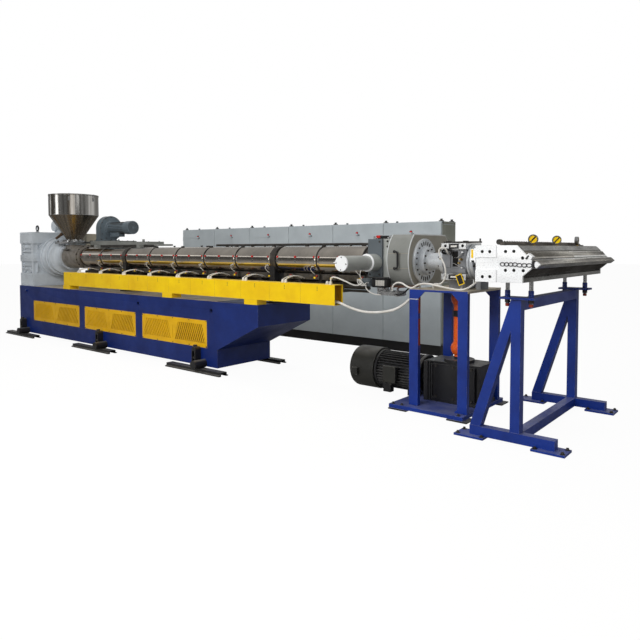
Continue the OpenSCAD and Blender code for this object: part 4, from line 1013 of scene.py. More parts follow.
@dataclass
class Barrel:
    """Barrel with its round heater covers, joint flanges, latches, supports and wiring channel."""

    channel_z: tuple[float, float] = (1.2157, 1.2857)
    start: float = 1.63
    flange_x: tuple[float, float] = (2.93, 6.194)
    flange_t: float = 0.088
    section: float = 1.3
    middle: float = 3.176
    radius: float = 0.16
    gap: float = 0.008

    def rows(self) -> list[tuple[float, float]]:
        """Start and length of every cover."""
        made = []
        for x0, length, count in ((self.start, self.section, 2), (self.flange_x[0] + self.flange_t,
                                                                  self.middle, 5),
                                  (self.flange_x[1] + self.flange_t, self.section, 2)):
            pitch = length / count
            made += [(x0 + i * pitch + self.gap / 2, pitch - self.gap) for i in range(count)]
        return made

    def cover(self, x: float, length: float) -> Shape:
        """One cover: r(x) has a shallow roll at both ends."""
        r = self.radius
        half = [(0, r - 0.02), (0.001, r - 0.005), (0.004, r - 0.002), (0.02, r - 0.002),
                (0.024, r), (0.03, r)]
        back = [(length - a, b) for a, b in reversed(half)]
        return lathe((x, 0, AXIS_Z), Axis.X, half + back, 96)

    def straps(self) -> Shape:
        """Dark bands over the gaps between covers, each with a lug on its top."""
        made = []
        xs = [x - self.gap / 2 for x, _ in self.rows()] + [self.rows()[-1][0] + self.rows()[-1][1] +
                                                           0.004]
        r = self.radius
        for x in xs:
            if min(abs(x - f) for f in (*self.flange_x,
                                        *(g + self.flange_t for g in self.flange_x))) < 0.01:
                continue
            made.append(lathe((x - 0.007, 0, AXIS_Z), Axis.X, [(0, r - 0.01), (0, r + 0.0025),
                                                               (0.014, r + 0.0025),
                                                               (0.014, r - 0.01)], 64))
            made.append(block((x - 0.02, -0.03, AXIS_Z + r - 0.004),
                              (x + 0.02, 0.0, AXIS_Z + r + 0.016)))
            made.append(rod((x - 0.03, -0.015, AXIS_Z + r + 0.012), Axis.X, 0.01, 0.06, 10))
        return joined(made)

    def flanges(self) -> Shape:
        """Two joint flange pairs: each pair has a parting groove."""
        r = 0.168
        t = self.flange_t
        profile = [(0.002, r - 0.006), (0.006, r), (t / 2 - 0.004, r), (t / 2 - 0.001, r - 0.006),
                   (t / 2 + 0.001, r - 0.006), (t / 2 + 0.004, r), (t - 0.006, r),
                   (t - 0.002, r - 0.006)]
        return joined([lathe((x, 0, AXIS_Z), Axis.X, profile, 72) for x in self.flange_x])

    def flange_bolts(self) -> Shape:
        """Bolt heads on both faces of the flange pairs, in the ring outside the covers' ends."""
        made = []
        for x in self.flange_x:
            for a in (-62, -22, 18, 58, 98, 138, 178, 218):
                y, z = 0.172 * math.sin(math.radians(a)), 0.172 * math.cos(math.radians(a))
                made.append(rod((x - 0.012, y * 0.93, AXIS_Z + z * 0.93), Axis.X, 0.018,
                                self.flange_t + 0.024, 8))
        return joined(made)

    def latches(self) -> tuple[Shape, Shape]:
        """Toggle latches on the near side: steel plates and red levers."""
        plates, levers = [], []
        r = self.radius
        for x, length in self.rows():
            for at, w in ((x + 0.032, 0.006), (x + length / 2, 0.01), (x + length - 0.032, 0.006)):
                plates.append(block((at - w, -r - 0.005, AXIS_Z - 0.03),
                                    (at + w, -r + 0.008, AXIS_Z + 0.002)))
                plates.append(block((at - w, -r - 0.001, AXIS_Z + 0.012),
                                    (at + w, -r + 0.014, AXIS_Z + 0.05)))
                levers.append(block((at - w - 0.002, -r - 0.005, AXIS_Z + 0.026),
                                    (at + w + 0.002, -r + 0.008, AXIS_Z + 0.05)))
        return joined(plates), joined(levers)

    def seams(self) -> Shape:
        """The lap joint of the two half covers on the near side: a thin flat strip on each
        cover."""
        made = []
        for x, length in self.rows():
            made.append(block((x + 0.004, -self.radius - 0.0022, AXIS_Z - 0.011),
                              (x + length - 0.004, -self.radius + 0.004, AXIS_Z - 0.003)))
        return joined(made)

    def channel(self) -> Shape:
        """The wiring channel: three runs with cover joints."""
        low, top = self.channel_z
        made = []
        for x0, x1 in ((1.75, 2.87), (3.078, 6.134), (6.342, 7.542)):
            made.append(block((x0, -0.07, low), (x1, 0.07, top)))
            xs = np.arange(x0 + 0.25, x1, 0.3)
            rib = block((0, -0.0735, 1.214), (0.02, 0.0735, top))
            made.append(rib.repeated(np.stack([xs, 0 * xs, 0 * xs], 1)))
        return joined(made)

    def sockets(self) -> tuple[Shape, Shape, Shape]:
        """Connector boxes under each cover, with a cover screw and a coloured plug."""
        boxes, plugs, tags = [], [], []
        for x, length in self.rows():
            for share in (0.3, 0.93):
                at = x + share * length
                boxes.append(block((at - 0.05, -0.108, 1.222), (at + 0.05, -0.07, 1.282)))
                boxes.append(socket_screw(0.012, 0.006, Axis.Y, -1).moved((at - 0.036, -0.108,
                                                                           1.27)))
                plugs.append(rod((at + 0.02, -0.122, 1.262), Axis.Y, 0.026, 0.016, 12))
                tags.append(block((at - 0.03, -0.11, 1.232), (at - 0.002, -0.1075, 1.252)))
        return joined(boxes), joined(plugs), joined(tags)

    def drops(self) -> Shape:
        """One thin armoured lead from each cover's low side down to the channel."""
        made = []
        for x, length in self.rows():
            at = x + length - 0.06
            path = smooth_path([(at, -0.1, 1.28), (at - 0.02, -0.128, 1.31),
                                (at - 0.03, -0.145, 1.34), (at - 0.01, -0.146, 1.372),
                                (at + 0.02, -0.142, 1.376)], 5)
            made.append(tube(path, 0.008, 8))
        return joined(made)

    def service(self) -> tuple[Shape, Shape]:
        """Dark service pipes under the channel with clamps, and a sagging hose between the
        clamps."""
        pipes = [rod((1.45, y, z), Axis.X, d, 6.07, 14) for y, z, d in ((0.05, 1.185, 0.05),
                                                                        (0.075, 1.137, 0.04),
                                                                        (0.06, 1.1, 0.03),
                                                                        (-0.03, 1.16, 0.026))]
        clamps = []
        for x in np.arange(1.95, 7.5, 0.33):
            clamps += [block((x, -0.05, 1.085), (x + 0.025, 0.085, 1.092)),
                       block((x, -0.052, 1.085), (x + 0.025, -0.046, self.channel_z[0])),
                       hex_bolt(0.02, 0.01, Axis.Y, -1).moved((x + 0.012, -0.052, 1.19))]
            if x < 7.1:
                sag = [(x, -0.056, 1.2), (x + 0.1, -0.06, 1.165), (x + 0.2, -0.06, 1.16),
                       (x + 0.33, -0.056, 1.2)]
                pipes.append(tube(smooth_path(sag, 5), 0.014, 8))
        return joined(pipes), joined(clamps)

    def collar(self) -> Shape:
        """Knobs on the covers' far top, and the dark duct and pipe that lie behind them on short
        posts."""
        made = []
        for x, length in self.rows():
            made.append(lathe((x + 0.5 * length, 0.075, AXIS_Z + 0.14), Axis.Z,
                              [(0, 0.012), (0.03, 0.012), (0.032, 0.018), (0.042, 0.018)], 12))
        made.append(block((1.72, 0.1, AXIS_Z + 0.12), (3.4, 0.16, 1.651)))
        made.append(rod((4.9, 0.1, AXIS_Z + 0.185), Axis.X, 0.03, 2.7, 12))
        made += [block((x, 0.09, AXIS_Z + 0.13), (x + 0.05, 0.11, AXIS_Z + 0.18))
                 for x in (5.1, 5.6, 6.1, 6.55, 7.0, 7.4)]
        made += [block((x, 0.08, AXIS_Z + 0.12), (x + 0.03, 0.12, AXIS_Z + 0.18))
                 for x in (4.7, 5.3, 6.0)]
        return joined(made)

    def build(self, f: Finishes) -> list[bpy.types.Object]:
        """Makes all pieces of the barrel."""
        polish = Polished("polished_cover", (0.77, 0.71, 0.63), (0.5, 0.46, 0.42)).build()
        plates, levers = self.latches()
        boxes, plugs, tags = self.sockets()
        pipes, clamps = self.service()
        covers = joined([self.cover(x, length) for x, length in self.rows()])
        line = Piece("polished_cover")
        dark = Piece("dark_steel")
        coat_node("barrel", f.dark)
        made = [
            to_object("cover_shells", covers, polish, Piece("polished_cover", ("heater_covers",))),
            to_object("cover_straps", self.straps(), f.dark, dark, 0.001),
            to_object("joint_flanges", self.flanges(), f.flange_dark, dark),
            to_object("joint_bolts", self.flange_bolts(), f.dark, dark),
            to_object("latch_plates", plates, f.steel, line, 0.001),
            to_object("latch_levers", levers, f.red, line, 0.0015),
            to_object("cover_laps", self.seams(), polish, line, 0.0006),
            to_object("wiring_channel", self.channel(), f.channel,
                      Piece("dark_steel", ("under_channel",)), 0.002),
            to_object("socket_boxes", boxes, f.channel, dark, 0.002),
            to_object("socket_plugs", plugs, f.red_dull, dark),
            to_object("socket_tags", tags, f.yellow, dark, 0.0005),
            to_object("heater_leads", self.drops(), f.white, Piece("cable_white")),
            to_object("service_pipes", pipes, f.dark, dark),
            to_object("pipe_clamps", clamps, f.channel, dark),
            to_object("cover_knobs", self.collar(), f.dark, dark),
            from_node("barrel_supports", f.black, "black_paint"),
        ]
        return made


# ---------------------------------------------------------------- hopper

@dataclass
class Hopper:
    """Hopper with its wall, cone, foot flange, lid, clips and drain pipe."""

    x: float = 1.15
    foot_z: float = 1.7143
    flange_h: float = 0.036
    cone_h: float = 0.43
    wall_h: float = 0.35
    radius: float = 0.415
    mouth: float = 0.125
    sheet: float = 0.005

    @property
    def rim_z(self) -> float:
        """Height of the rim."""
        return self.foot_z + self.flange_h + self.cone_h + self.wall_h

    def wall(self) -> Shape:
        """The straight wall with a rolled rim: a closed profile of its outer and inner side."""
        r, s, h = self.radius, self.sheet, self.wall_h
        z0 = self.foot_z + self.flange_h + self.cone_h
        profile = [(0, r), (h - 0.016, r), (h - 0.014, r + 0.003), (h - 0.008, r + 0.004),
                   (h - 0.002, r + 0.003), (h, r), (h, r - s), (0, r - s)]
        return lathe((self.x, 0, z0), Axis.Z, profile, 128, ring=True)

    def cone(self) -> Shape:
        """The cone: r falls from the wall to the mouth in a straight line."""
        s = self.sheet
        z0 = self.foot_z + self.flange_h
        profile = [(0, self.mouth + s), (self.cone_h - 0.004, self.radius - 0.003),
                   (self.cone_h, self.radius), (self.cone_h, self.radius - s), (0, self.mouth)]
        return lathe((self.x, 0, z0), Axis.Z, profile, 128, ring=True)

    def weld(self) -> Shape:
        """The weld seam between wall and cone."""
        z0 = self.foot_z + self.flange_h + self.cone_h
        r = self.radius
        return lathe((self.x, 0, z0 - 0.004), Axis.Z, [
            (0, r - 0.003), (0.002, r + 0.0012), (0.006, r + 0.0012), (0.008, r - 0.002)], 128)

    def foot(self) -> Shape:
        """Foot collar and flange."""
        r = self.mouth + self.sheet
        return lathe((self.x, 0, self.foot_z), Axis.Z, [(0, r + 0.036), (0.004, r + 0.04),
                                                        (0.016, r + 0.04), (0.02, r + 0.036),
                                                        (0.02, r + 0.004),
                                                        (self.flange_h, r + 0.003),
                                                        (self.flange_h, self.mouth),
                                                        (0, self.mouth)], 96, ring=True)

    def lid(self) -> Shape:
        """The lid: a shallow crown with a turned edge."""
        r = self.radius + 0.004
        u = np.linspace(0, 1, 14)
        crown = [(0.01 + 0.0118 * (1 - v ** 2), r * v) for v in u[::-1] if v > 0.02]
        return lathe((self.x, 0, self.rim_z + 0.0003), Axis.Z, [(0, r - 0.012), (0, r - 0.001),
                                                                (0.003, r)] + crown, 128)

    def clips(self) -> tuple[Shape, Shape]:
        """Toggle clips that hold the lid: base plates with a loop over the lid's edge."""
        plates, loops = [], []
        for a in (-158, -98, -38, 22, 82, 142):
            r = self.radius
            plate = block((r - 0.001, -0.016, self.rim_z - 0.11),
                          (r + 0.007, 0.016, self.rim_z - 0.05))
            lever = block((r + 0.007, -0.011, self.rim_z - 0.1),
                          (r + 0.018, 0.011, self.rim_z - 0.045))
            hook = block((r + 0.004, -0.014, self.rim_z - 0.02),
                         (r + 0.016, 0.014, self.rim_z + 0.012))
            path = np.array([(r + 0.014, -0.01, self.rim_z - 0.05),
                             (r + 0.018, -0.01, self.rim_z + 0.002),
                             (r + 0.018, 0.01, self.rim_z + 0.002),
                             (r + 0.014, 0.01, self.rim_z - 0.05)])
            for k, shape in enumerate((plate, lever, hook, tube(path, 0.005, 8))):
                (plates if k < 3 else loops).append(shape.turned(Axis.Z, a).moved((self.x, 0, 0)))
        return joined(plates), joined(loops)

    def drain(self) -> Shape:
        """The drain pipe low on the cone, open at its end, with a collar where it is welded on."""
        start = np.array([self.x - 0.14, -0.115, self.foot_z + 0.175])
        a, b = math.radians(-129), math.radians(39.5)
        way = np.array([math.sin(a) * math.cos(b), math.sin(a) * math.sin(b), math.cos(a)])
        r, length = 0.0225, 0.19
        side = np.cross(way, (0, 0, 1))
        side /= np.linalg.norm(side)
        up = np.cross(side, way)
        profile = np.array([(0.04, r), (length, r), (length, r - 0.004), (0.04, r - 0.004)])
        u = np.linspace(0, TAU, 24, endpoint=False)
        across = np.cos(u)[:, None] * side + np.sin(u)[:, None] * up
        pipe = start + profile[:, 0, None, None] * way + profile[:, 1, None, None] * across[None]
        collar_profile = np.array([(0.05, r), (0.05, r + 0.012), (0.09, r + 0.004), (0.09, r)])
        collar = (start + collar_profile[:, 0, None, None] * way
                  + collar_profile[:, 1, None, None] * across[None])
        return joined([grid(pipe, loop_u=True, loop_v=True), grid(collar, loop_u=True,
                                                                  loop_v=True)])

    def bolts(self) -> Shape:
        """Bolts of the mounting plate and of the foot flange."""
        xs, ys = np.array([-0.2, 0, 0.2]), np.array([-0.2, 0.2])
        at = [(self.x + x, y, 1.714) for x in xs for y in ys]
        bolts = hex_bolt(0.03, 0.02).repeated(np.array(at))
        ring = on_circle((self.x, 0, self.foot_z + 0.02), Axis.Z, 0.149, 12)
        small = hex_bolt(0.02, 0.013).repeated(ring)
        return joined([bolts, small])

    def build(self, f: Finishes) -> list[bpy.types.Object]:
        """Makes all pieces of the hopper."""
        centre = (self.x + LINE_TO_ROW[0], LINE_TO_ROW[1])
        # Both stainless finishes carry painted reflections: upright bands round the wall and the
        # cone.
        wall = Spun("stainless_wall", (0.72, 0.71, 0.69), (0.4, 0.39, 0.37), 0.13,
                    centre=centre).build()
        cone = Spun("stainless_cone", (0.33, 0.285, 0.23), (0.2, 0.17, 0.14), 0.26, (0.3, 0.2, 0.1),
                    centre).build()
        plates, loops = self.clips()
        steel = Piece("stainless")
        return [
            to_object("hopper_wall", self.wall(), wall, Piece("stainless", ("hopper",))),
            to_object("hopper_cone", self.cone(), cone, steel),
            to_object("hopper_weld", self.weld(), f.steel, steel),
            to_object("hopper_foot", self.foot(), f.bright, steel),
            to_object("hopper_cover", self.lid(), wall, Piece("stainless", ("hopper_lid",))),
            to_object("lid_clips", plates, f.steel, steel, 0.001),
            to_object("lid_loops", loops, f.steel, steel),
            to_object("hopper_drain", self.drain(), f.heat, steel),
            from_node("hopper_throat", f.steel, "machined_steel"),
            to_object("throat_bolts", self.bolts(), f.dark, Piece("dark_steel")),
        ]


# ---------------------------------------------------------------- drive, blower

@dataclass
class Drive:
    """Gearbox, drive housing, stepped bearing flange and the cast feed section."""

    face_x: float = 0.5
    half: float = 0.45
    z0: float = 0.912
    height: float = 0.979
    eye: tuple[float, float, float] = (0.38, -0.3, 1.891)

    def flange(self) -> Shape:
        """The stepped flange turned about the screw's axis, with thin lips on its steps."""
        x = self.face_x + 0.0003
        return lathe((x, 0, AXIS_Z), Axis.X, [(0, 0.3), (0.1, 0.3), (0.1, 0.364), (0.104, 0.368),
                                              (0.122, 0.368), (0.126, 0.364), (0.126, 0.35),
                                              (0.122, 0.348), (0.122, 0.34), (0.134, 0.34),
                                              (0.15, 0.336), (0.25, 0.336), (0.256, 0.34),
                                              (0.269, 0.34), (0.273, 0.336), (0.273, 0.318),
                                              (0.269, 0.316), (0.269, 0.31), (0.34, 0.306),
                                              (0.353, 0.31), (0.357, 0.306), (0.357, 0.292),
                                              (0.381, 0.236), (0.39, 0.23), (0.52, 0.23),
                                              (0.53, 0.234), (0.5592, 0.234), (0.5597, 0.2)], 96)

    def flange_bolts(self) -> Shape:
        """Bolts on the flange's three steps."""
        x = self.face_x
        rows = ((x + 0.126, 0.356, 24, 0.016), (x + 0.357, 0.27, 12, 0.026), (x + 0.273, 0.327, 16,
                                                                              0.014))
        return joined([hex_bolt(d, 0.5 * d, Axis.X).repeated(on_circle((a, 0, AXIS_Z), Axis.X, r, n,
                                                                       7.5)) for a, r, n,
                       d in rows])

    def ribs(self) -> Shape:
        """Ribs on the gearbox's near face and on its face towards the barrel, with cast pads."""
        made = []
        for share in (0.3, 0.37, 0.63, 0.7):
            z = self.z0 + share * self.height
            made.append(block((0.075, -self.half + 0.004, z), (0.425, -self.half + 0.034,
                                                               z + 0.02)))
        for y in (-0.36, -0.1, 0.16, 0.36):
            made.append(block((0.469, y - 0.012, self.z0 + 0.25),
                              (0.493, y + 0.012, self.z0 + 0.44)))
            made.append(block((0.469, y - 0.012, self.z0 + 0.58),
                              (0.493, y + 0.012, self.z0 + 0.77)))
        made += [rod((x, -self.half + 0.01, z), Axis.Y, 0.09, 0.03, 32) for x in (0.14, 0.36)
                 for z in (1.2, 1.62)]
        return joined(made)

    def case_bolts(self) -> Shape:
        """Bolts along the bands of the case, on two sides, and on its top's edge."""
        xs, ys = np.linspace(0.04, 0.46, 5), np.linspace(-0.41, 0.41, 7)
        rows = [self.z0 + share * self.height for share in (0.03, 0.21, 0.515, 0.82, 0.97)]
        near = hex_bolt(0.022, 0.012, Axis.Y, -1).repeated(
            np.array([(x, -self.half, z) for x in xs for z in rows]))
        side = hex_bolt(0.022, 0.01, Axis.X).repeated(np.array(
            [(self.face_x, y, z) for y in ys for z in rows if math.hypot(y, z - AXIS_Z) > 0.39]))
        return joined([near, side])

    def lifting_eye(self) -> Shape:
        """The lifting eye: a ring of round bar on a collar."""
        a = np.linspace(0, TAU, 33)
        x, y, z = self.eye
        ring = np.stack([x + 0.042 * np.cos(a), np.full_like(a, y), z + 0.072 + 0.045 * np.sin(a)],
                        1)
        return joined([tube(ring, 0.026, 12), lathe((x, y, z), Axis.Z, [(0, 0.034), (0.008, 0.034),
                                                                        (0.018, 0.016)], 24)])

    def feed_details(self) -> tuple[Shape, Shape]:
        """Dark cavity on the feed section's near top with a rim, and bolts around its end ring."""
        # The cavity and its rim are black painted shade.
        a = [math.radians(v) for v in (18, 46)]
        at = [(-0.2015 * math.cos(v), AXIS_Z + 0.2015 * math.sin(v)) for v in a]
        cavity = joined([bar_between((1.12, at[1][0], at[1][1]), (1.3, at[1][0], at[1][1]), 0.016),
                         block((1.1, -0.21, 1.57), (1.3, -0.155, 1.575))])
        ring = on_circle((1.6297, 0, AXIS_Z), Axis.X, 0.182, 12, 15)
        return cavity, hex_bolt(0.022, 0.012, Axis.X, -1).repeated(ring - np.array([0.088, 0, 0]))

    def build(self, f: Finishes) -> list[bpy.types.Object]:
        """Makes all pieces of the drive."""
        grey, dark = Piece("gear_grey"), Piece("dark_steel")
        cavity, ring = self.feed_details()
        return [
            from_node("gearbox_housing", f.cast, "gear_grey", bevel=0.008),
            from_node("drive_motor", f.beige, "motor_beige", bevel=0.006),
            from_node("feed_section", f.casting, "dark_steel", bevel=0.005),
            to_object("bearing_rings", self.flange(), f.cast,
                      Piece("gear_grey", ("bearing_flange",))),
            to_object("bearing_bolts", self.flange_bolts(), f.cast, grey),
            to_object("case_ribs", self.ribs(), f.cast, grey, 0.004),
            to_object("case_bolts", self.case_bolts(), f.cast, grey),
            to_object("lifting_eye", self.lifting_eye(), f.black, dark),
            to_object("feed_cavity", cavity, f.recess_shade, dark),
            to_object("feed_bolts", ring, f.dark, dark),
        ]


@dataclass
class Blower:
    """Blower with scroll, motor and foot flange, on the flat duct of the barrel's far side."""

    axis: tuple[float, float] = (0.33, 1.945)
    radius: float = 0.215
    x: tuple[float, float] = (1.69, 1.815)

    def rims(self) -> Shape:
        """Rolled rims on both edges of the scroll: arcs from 180 down to -50 degrees."""
        a = np.radians(np.linspace(180, -50, 49))
        y, z = self.axis
        made = []
        for x in self.x:
            arc = np.stack([np.full_like(a, x), y + (self.radius - 0.003) * np.cos(a),
                            z + (self.radius - 0.003) * np.sin(a)], 1)
            down = np.array([[x, y - self.radius + 0.003, z - 0.2]])
            made.append(tube(np.vstack([down, arc]), 0.011, 8))
        return joined(made)

    def inlet(self) -> Shape:
        """The ring of the inlet, with its guard of round bars, on the far face."""
        y, z = self.axis
        made = [lathe((self.x[0], y, z), Axis.X, [(0.001, 0.1), (-0.012, 0.1), (-0.016, 0.096),
                                                  (-0.016, 0.084), (0.001, 0.08)], 48)]
        for r in (0.02, 0.042, 0.064):
            a = np.linspace(0, TAU, 33)
            made.append(tube(np.stack([np.full_like(a, self.x[0] - 0.012), y + r * np.cos(a),
                                       z + r * np.sin(a)], 1), 0.004, 6))
        return joined(made)

    def motor(self) -> Shape:
        """Fins and the end cap's vent rings on the motor."""
        y, z = self.axis
        made = []
        for i in range(20):
            fin = block((1.86, -0.0016, 0.093), (2.31, 0.0016, 0.104))
            made.append(fin.turned(Axis.X, 18 * i).moved((0, y, z)))
        for r in (0.03, 0.055, 0.08):
            made.append(lathe((2.494, y, z), Axis.X, [(0, r), (0.003, r), (0.003, r + 0.006),
                                                      (0, r + 0.006)], 36))
        return joined(made)

    def bolts(self) -> Shape:
        """Bolts of the foot flange, the scroll's face and the duct's plates."""
        y, z = self.axis
        foot = [(x, w, 1.7403) for x in (1.668, 1.752, 1.836) for w in (0.13, 0.46)]
        duct = [(x, w, 1.722) for x in (1.53, 1.61, 1.95, 2.12, 2.3) for w in (0.13, 0.46)]
        duct += [(x, w, 1.7) for x in (2.42, 2.62, 2.8, 3.1) for w in (0.13, 0.42)]
        face = on_circle((self.x[1], y, z), Axis.X, 0.198, 12, 0)
        return joined([hex_bolt(0.022, 0.014).repeated(np.array(foot)),
                       hex_bolt(0.018, 0.01).repeated(np.array(duct)), hex_bolt(0.014, 0.008,
                                                                                Axis.X).repeated(
                                                                                    face)])

    def build(self, f: Finishes) -> list[bpy.types.Object]:
        """Makes all pieces of the blower."""
        grey = Piece("blower_grey")
        return [
            from_node("blower_housing", f.blue_grey, "blower_grey", bevel=0.004),
            from_node("blower_duct", f.hood, "blower_grey"),
            to_object("scroll_rims", self.rims(), f.slate, grey),
            to_object("inlet_ring", self.inlet(), f.slate, grey),
            to_object("blower_motor_fins", self.motor(), f.dark, grey),
            to_object("blower_bolts", self.bolts(), f.dark, Piece("dark_steel")),
        ]


# ---------------------------------------------------------------- base frame and cable tray

@dataclass
class Base:
    """Base frame with its louvre panels, round holes, deck, levelling screws and a lug."""

    half: float = 0.474
    panels: tuple[tuple[float, float], ...] = ((0.55, 1.6106), (2.3306, 1.4317), (3.9323, 1.4317))
    panel_z: tuple[float, float] = (0.304, 0.658)
    jack_xs: tuple[float, ...] = (0.218, 2.8355, 5.2)
    jack_y: float = 0.534
    hole_xs: tuple[float, ...] = (3.831, 5.452)
    hole_z: float = 0.792
    deck_x: tuple[float, float] = (0.54, 5.55)
    deck_z: tuple[float, float] = (0.9122, 0.9155)
    eye: tuple[float, float] = (0.272, 0.823)

    def backing(self) -> Shape:
        """Slats behind the panels' slots: a row of slanted blades in each recess, on both sides, in
        painted shade.
        """
        made = []
        z0, z1 = self.panel_z[0] + 0.03, self.panel_z[1] - 0.03
        n = 24
        rise = (z1 - z0) / n
        for x, length in self.panels:
            saw = []
            for i in range(n):
                saw += [(0.008, z0 + i * rise), (0.0, z0 + (i + 0.8) * rise)]
            outline = saw + [(0.014, z1), (0.014, z0)]
            for side in (-1, 1):
                pts = [(side * (self.half - 0.014) - side * d, z) for d, z in outline]
                made.append(prism(pts, Axis.X, x + 0.03, x + length - 0.03))
        return joined(made)

    def screws(self) -> Shape:
        """Screws around every louvre panel, on both sides."""
        at = []
        for x, length in self.panels:
            at += [(u, z) for u in np.linspace(x + 0.012, x + length - 0.012, 5)
                   for z in (self.panel_z[0] + 0.012, self.panel_z[1] - 0.012)]
        made = []
        for side in (-1, 1):
            pts = np.array([(u, side * self.half, z) for u, z in at])
            made.append(lathe(ORIGIN, Axis.Y, [(0, 0.009), (side * 0.003, 0.008),
                                               (side * 0.0045, 0.004)], 12).repeated(pts))
        return joined(made)

    def rings(self) -> tuple[Shape, Shape]:
        """Rims around the round holes, with dark hollows in them, on both sides."""
        # The hollows are black discs of painted shade.
        rims, dark = [], []
        for x in self.hole_xs:
            for s in (-1, 1):
                at = (x, s * self.half, self.hole_z)
                rims.append(lathe(at, Axis.Y, [(-s * 0.001, 0.026), (0, 0.027), (0, 0.0195),
                                               (-s * 0.006, 0.0185), (-s * 0.006, 0.0255)], 32,
                                  ring=True))
                dark.append(lathe((x, s * (self.half - 0.05), self.hole_z), Axis.Y,
                                  [(0, 0.019), (s * 0.004, 0.019)], 24))
        return joined(rims), joined(dark)

    def deck(self) -> Shape:
        """Grey deck sheets between the supports, with gaps between them."""
        low, top = self.deck_z
        edges = np.linspace(*self.deck_x, 7)
        return joined([block((a + 0.004, -0.455, low), (b - 0.004, 0.455, top))
                       for a, b in zip(edges[:-1], edges[1:])])

    def jacks(self) -> tuple[Shape, Shape]:
        """Threaded screws with nuts, and washers under them, at the brackets of both sides."""
        thread = [(0.004 * i + d, r) for i in range(40) for d, r in ((0, 0.0155), (0.002, 0.0135))]
        nut = lathe(ORIGIN, Axis.Z, [(0, 0.027), (0.003, 0.029), (0.021, 0.029), (0.024, 0.027)], 6)
        at = np.array([(x, s * self.jack_y, 0) for x in self.jack_xs for s in (-1, 1)])
        screw = lathe((0, 0, 0.1655), Axis.Z, thread, 20).repeated(at)
        nuts = joined([nut.repeated(at + np.array([0, 0, z])) for z in (0.276, 0.302, 0.16)])
        return screw, nuts

    def lug(self) -> Shape:
        """Stub with an eye on the near side under the gearbox."""
        at = (self.eye[0], -self.half - 0.02, self.eye[1])
        return joined([rod(at, Axis.Y, 0.06, 0.022, 24),
                       lathe(at, Axis.Y, [(0, 0.02), (-0.014, 0.02)], 6)])

    def build(self, f: Finishes) -> list[bpy.types.Object]:
        """Makes all pieces of the base."""
        yellow, blue, steel = Piece("tray_yellow"), Piece("base_blue"), Piece("machined_steel")
        rims, hollow = self.rings()
        screw, nuts = self.jacks()
        return [
            from_node("base_frame", f.navy, "base_blue", bevel=0.005),
            from_node("louvre_panels", f.amber, "tray_yellow", bevel=0.0015),
            from_node("levelling_jacks", f.black, "black_paint"),
            to_object("louvre_slats", self.backing(), f.shaded_yellow, yellow),
            to_object("panel_screws", self.screws(), f.dark, steel),
            to_object("hole_rims", rims, f.navy, blue),
            to_object("hole_hollows", hollow, f.recess_shade, blue),
            to_object("deck_sheets", self.deck(), f.deck, steel, 0.001),
            to_object("jack_threads", screw, f.steel, steel),
            to_object("jack_nuts", nuts, f.dark, steel),
            to_object("base_lug", self.lug(), f.navy, blue),
        ]


@dataclass
class Tray:
    """Cable tray with its covers, locks, feet and glands."""

    x: tuple[float, float] = (1.664, 7.451)
    near: float = -0.474
    z: tuple[float, float] = (0.976, 1.195)
    covers: int = 12
    gland_y: float = -0.4025

    def locks(self) -> Shape:
        """A lock in a slot on every cover, under its top edge."""
        pitch = (self.x[1] - self.x[0]) / self.covers
        at = [(self.x[0] + (i + 0.5) * pitch, self.near, self.z[1] - 0.035)
              for i in range(self.covers)]
        lock = joined([block((-0.0025, -0.0006, -0.018), (0.0025, 0.003, 0.012)),
                       lathe((0, 0, -0.03), Axis.Y, [(0, 0.005), (-0.002, 0.004)], 10)])
        return lock.repeated(np.array(at))

    def joints(self) -> Shape:
        """Dark shadow strips in the gaps between the covers."""
        pitch = (self.x[1] - self.x[0]) / self.covers
        return joined([block((self.x[0] + i * pitch - 0.0008, self.near + 0.001, self.z[0] + 0.002),
                             (self.x[0] + i * pitch + 0.0008, self.near + 0.004, self.z[1] - 0.002))
                       for i in range(1, self.covers)])

    def end_hollow(self) -> Shape:
        """The shaded inside of the tray's open end."""
        x = self.x[1]
        return blocks(((x - 0.06, self.near + 0.012, self.z[0] + 0.022),
                       (x - 0.05, -0.343, self.z[1] - 0.012)),
                      ((x - 0.05, -0.345, self.z[0] + 0.022),
                       (x - 0.012, -0.343, self.z[1] - 0.012)))

    def gland_nuts(self) -> Shape:
        """Hexagon nuts and domes of the glands."""
        nut = lathe(ORIGIN, Axis.Z, [(0, 0.02), (0.009, 0.02), (0.01, 0.0165), (0.026, 0.0165),
                                     (0.034, 0.012), (0.036, 0.007)], 12)
        first, pitch, gap = 2.069, 0.6589, 0.046
        at = [(first + i * pitch - d, self.gland_y, self.z[1]) for i in range(9) for d in (0, gap)]
        return nut.repeated(np.array(at))

    def inner_leads(self) -> Shape:
        """White leads that lie in the tray and show at its open end."""
        made = []
        for i, (y, z) in enumerate(((-0.42, 0.996), (-0.39, 1.0), (-0.365, 0.994), (-0.41, 1.016))):
            path = [(6.9, y, z), (7.2, y + 0.01, z + 0.004), (7.42 + 0.008 * i, y + 0.006, z)]
            made.append(tube(smooth_path(path, 6), 0.016, 8))
        return joined(made)

    def build(self, f: Finishes) -> list[bpy.types.Object]:
        """Makes all pieces of the tray."""
        white = Piece("cable_white")
        return [
            from_node("cable_tray", f.yellow, "tray_yellow", bevel=0.0008),
            from_node("tray_covers", f.yellow, "tray_yellow", bevel=0.0015),
            from_node("tray_feet", f.yellow, "tray_yellow"),
            from_node("gland_leads", f.white, "cable_white", bevel=0),
            to_object("tray_locks", self.locks(), f.dark, Piece("dark_steel")),
            to_object("cover_joints", self.joints(), f.shaded_yellow, Piece("tray_yellow")),
            to_object("gland_nuts", self.gland_nuts(), f.white, white),
            to_object("tray_hollow", self.end_hollow(), f.shaded_yellow, Piece("dark_steel")),
            to_object("tray_inner_leads", self.inner_leads(), f.white, white),
        ]


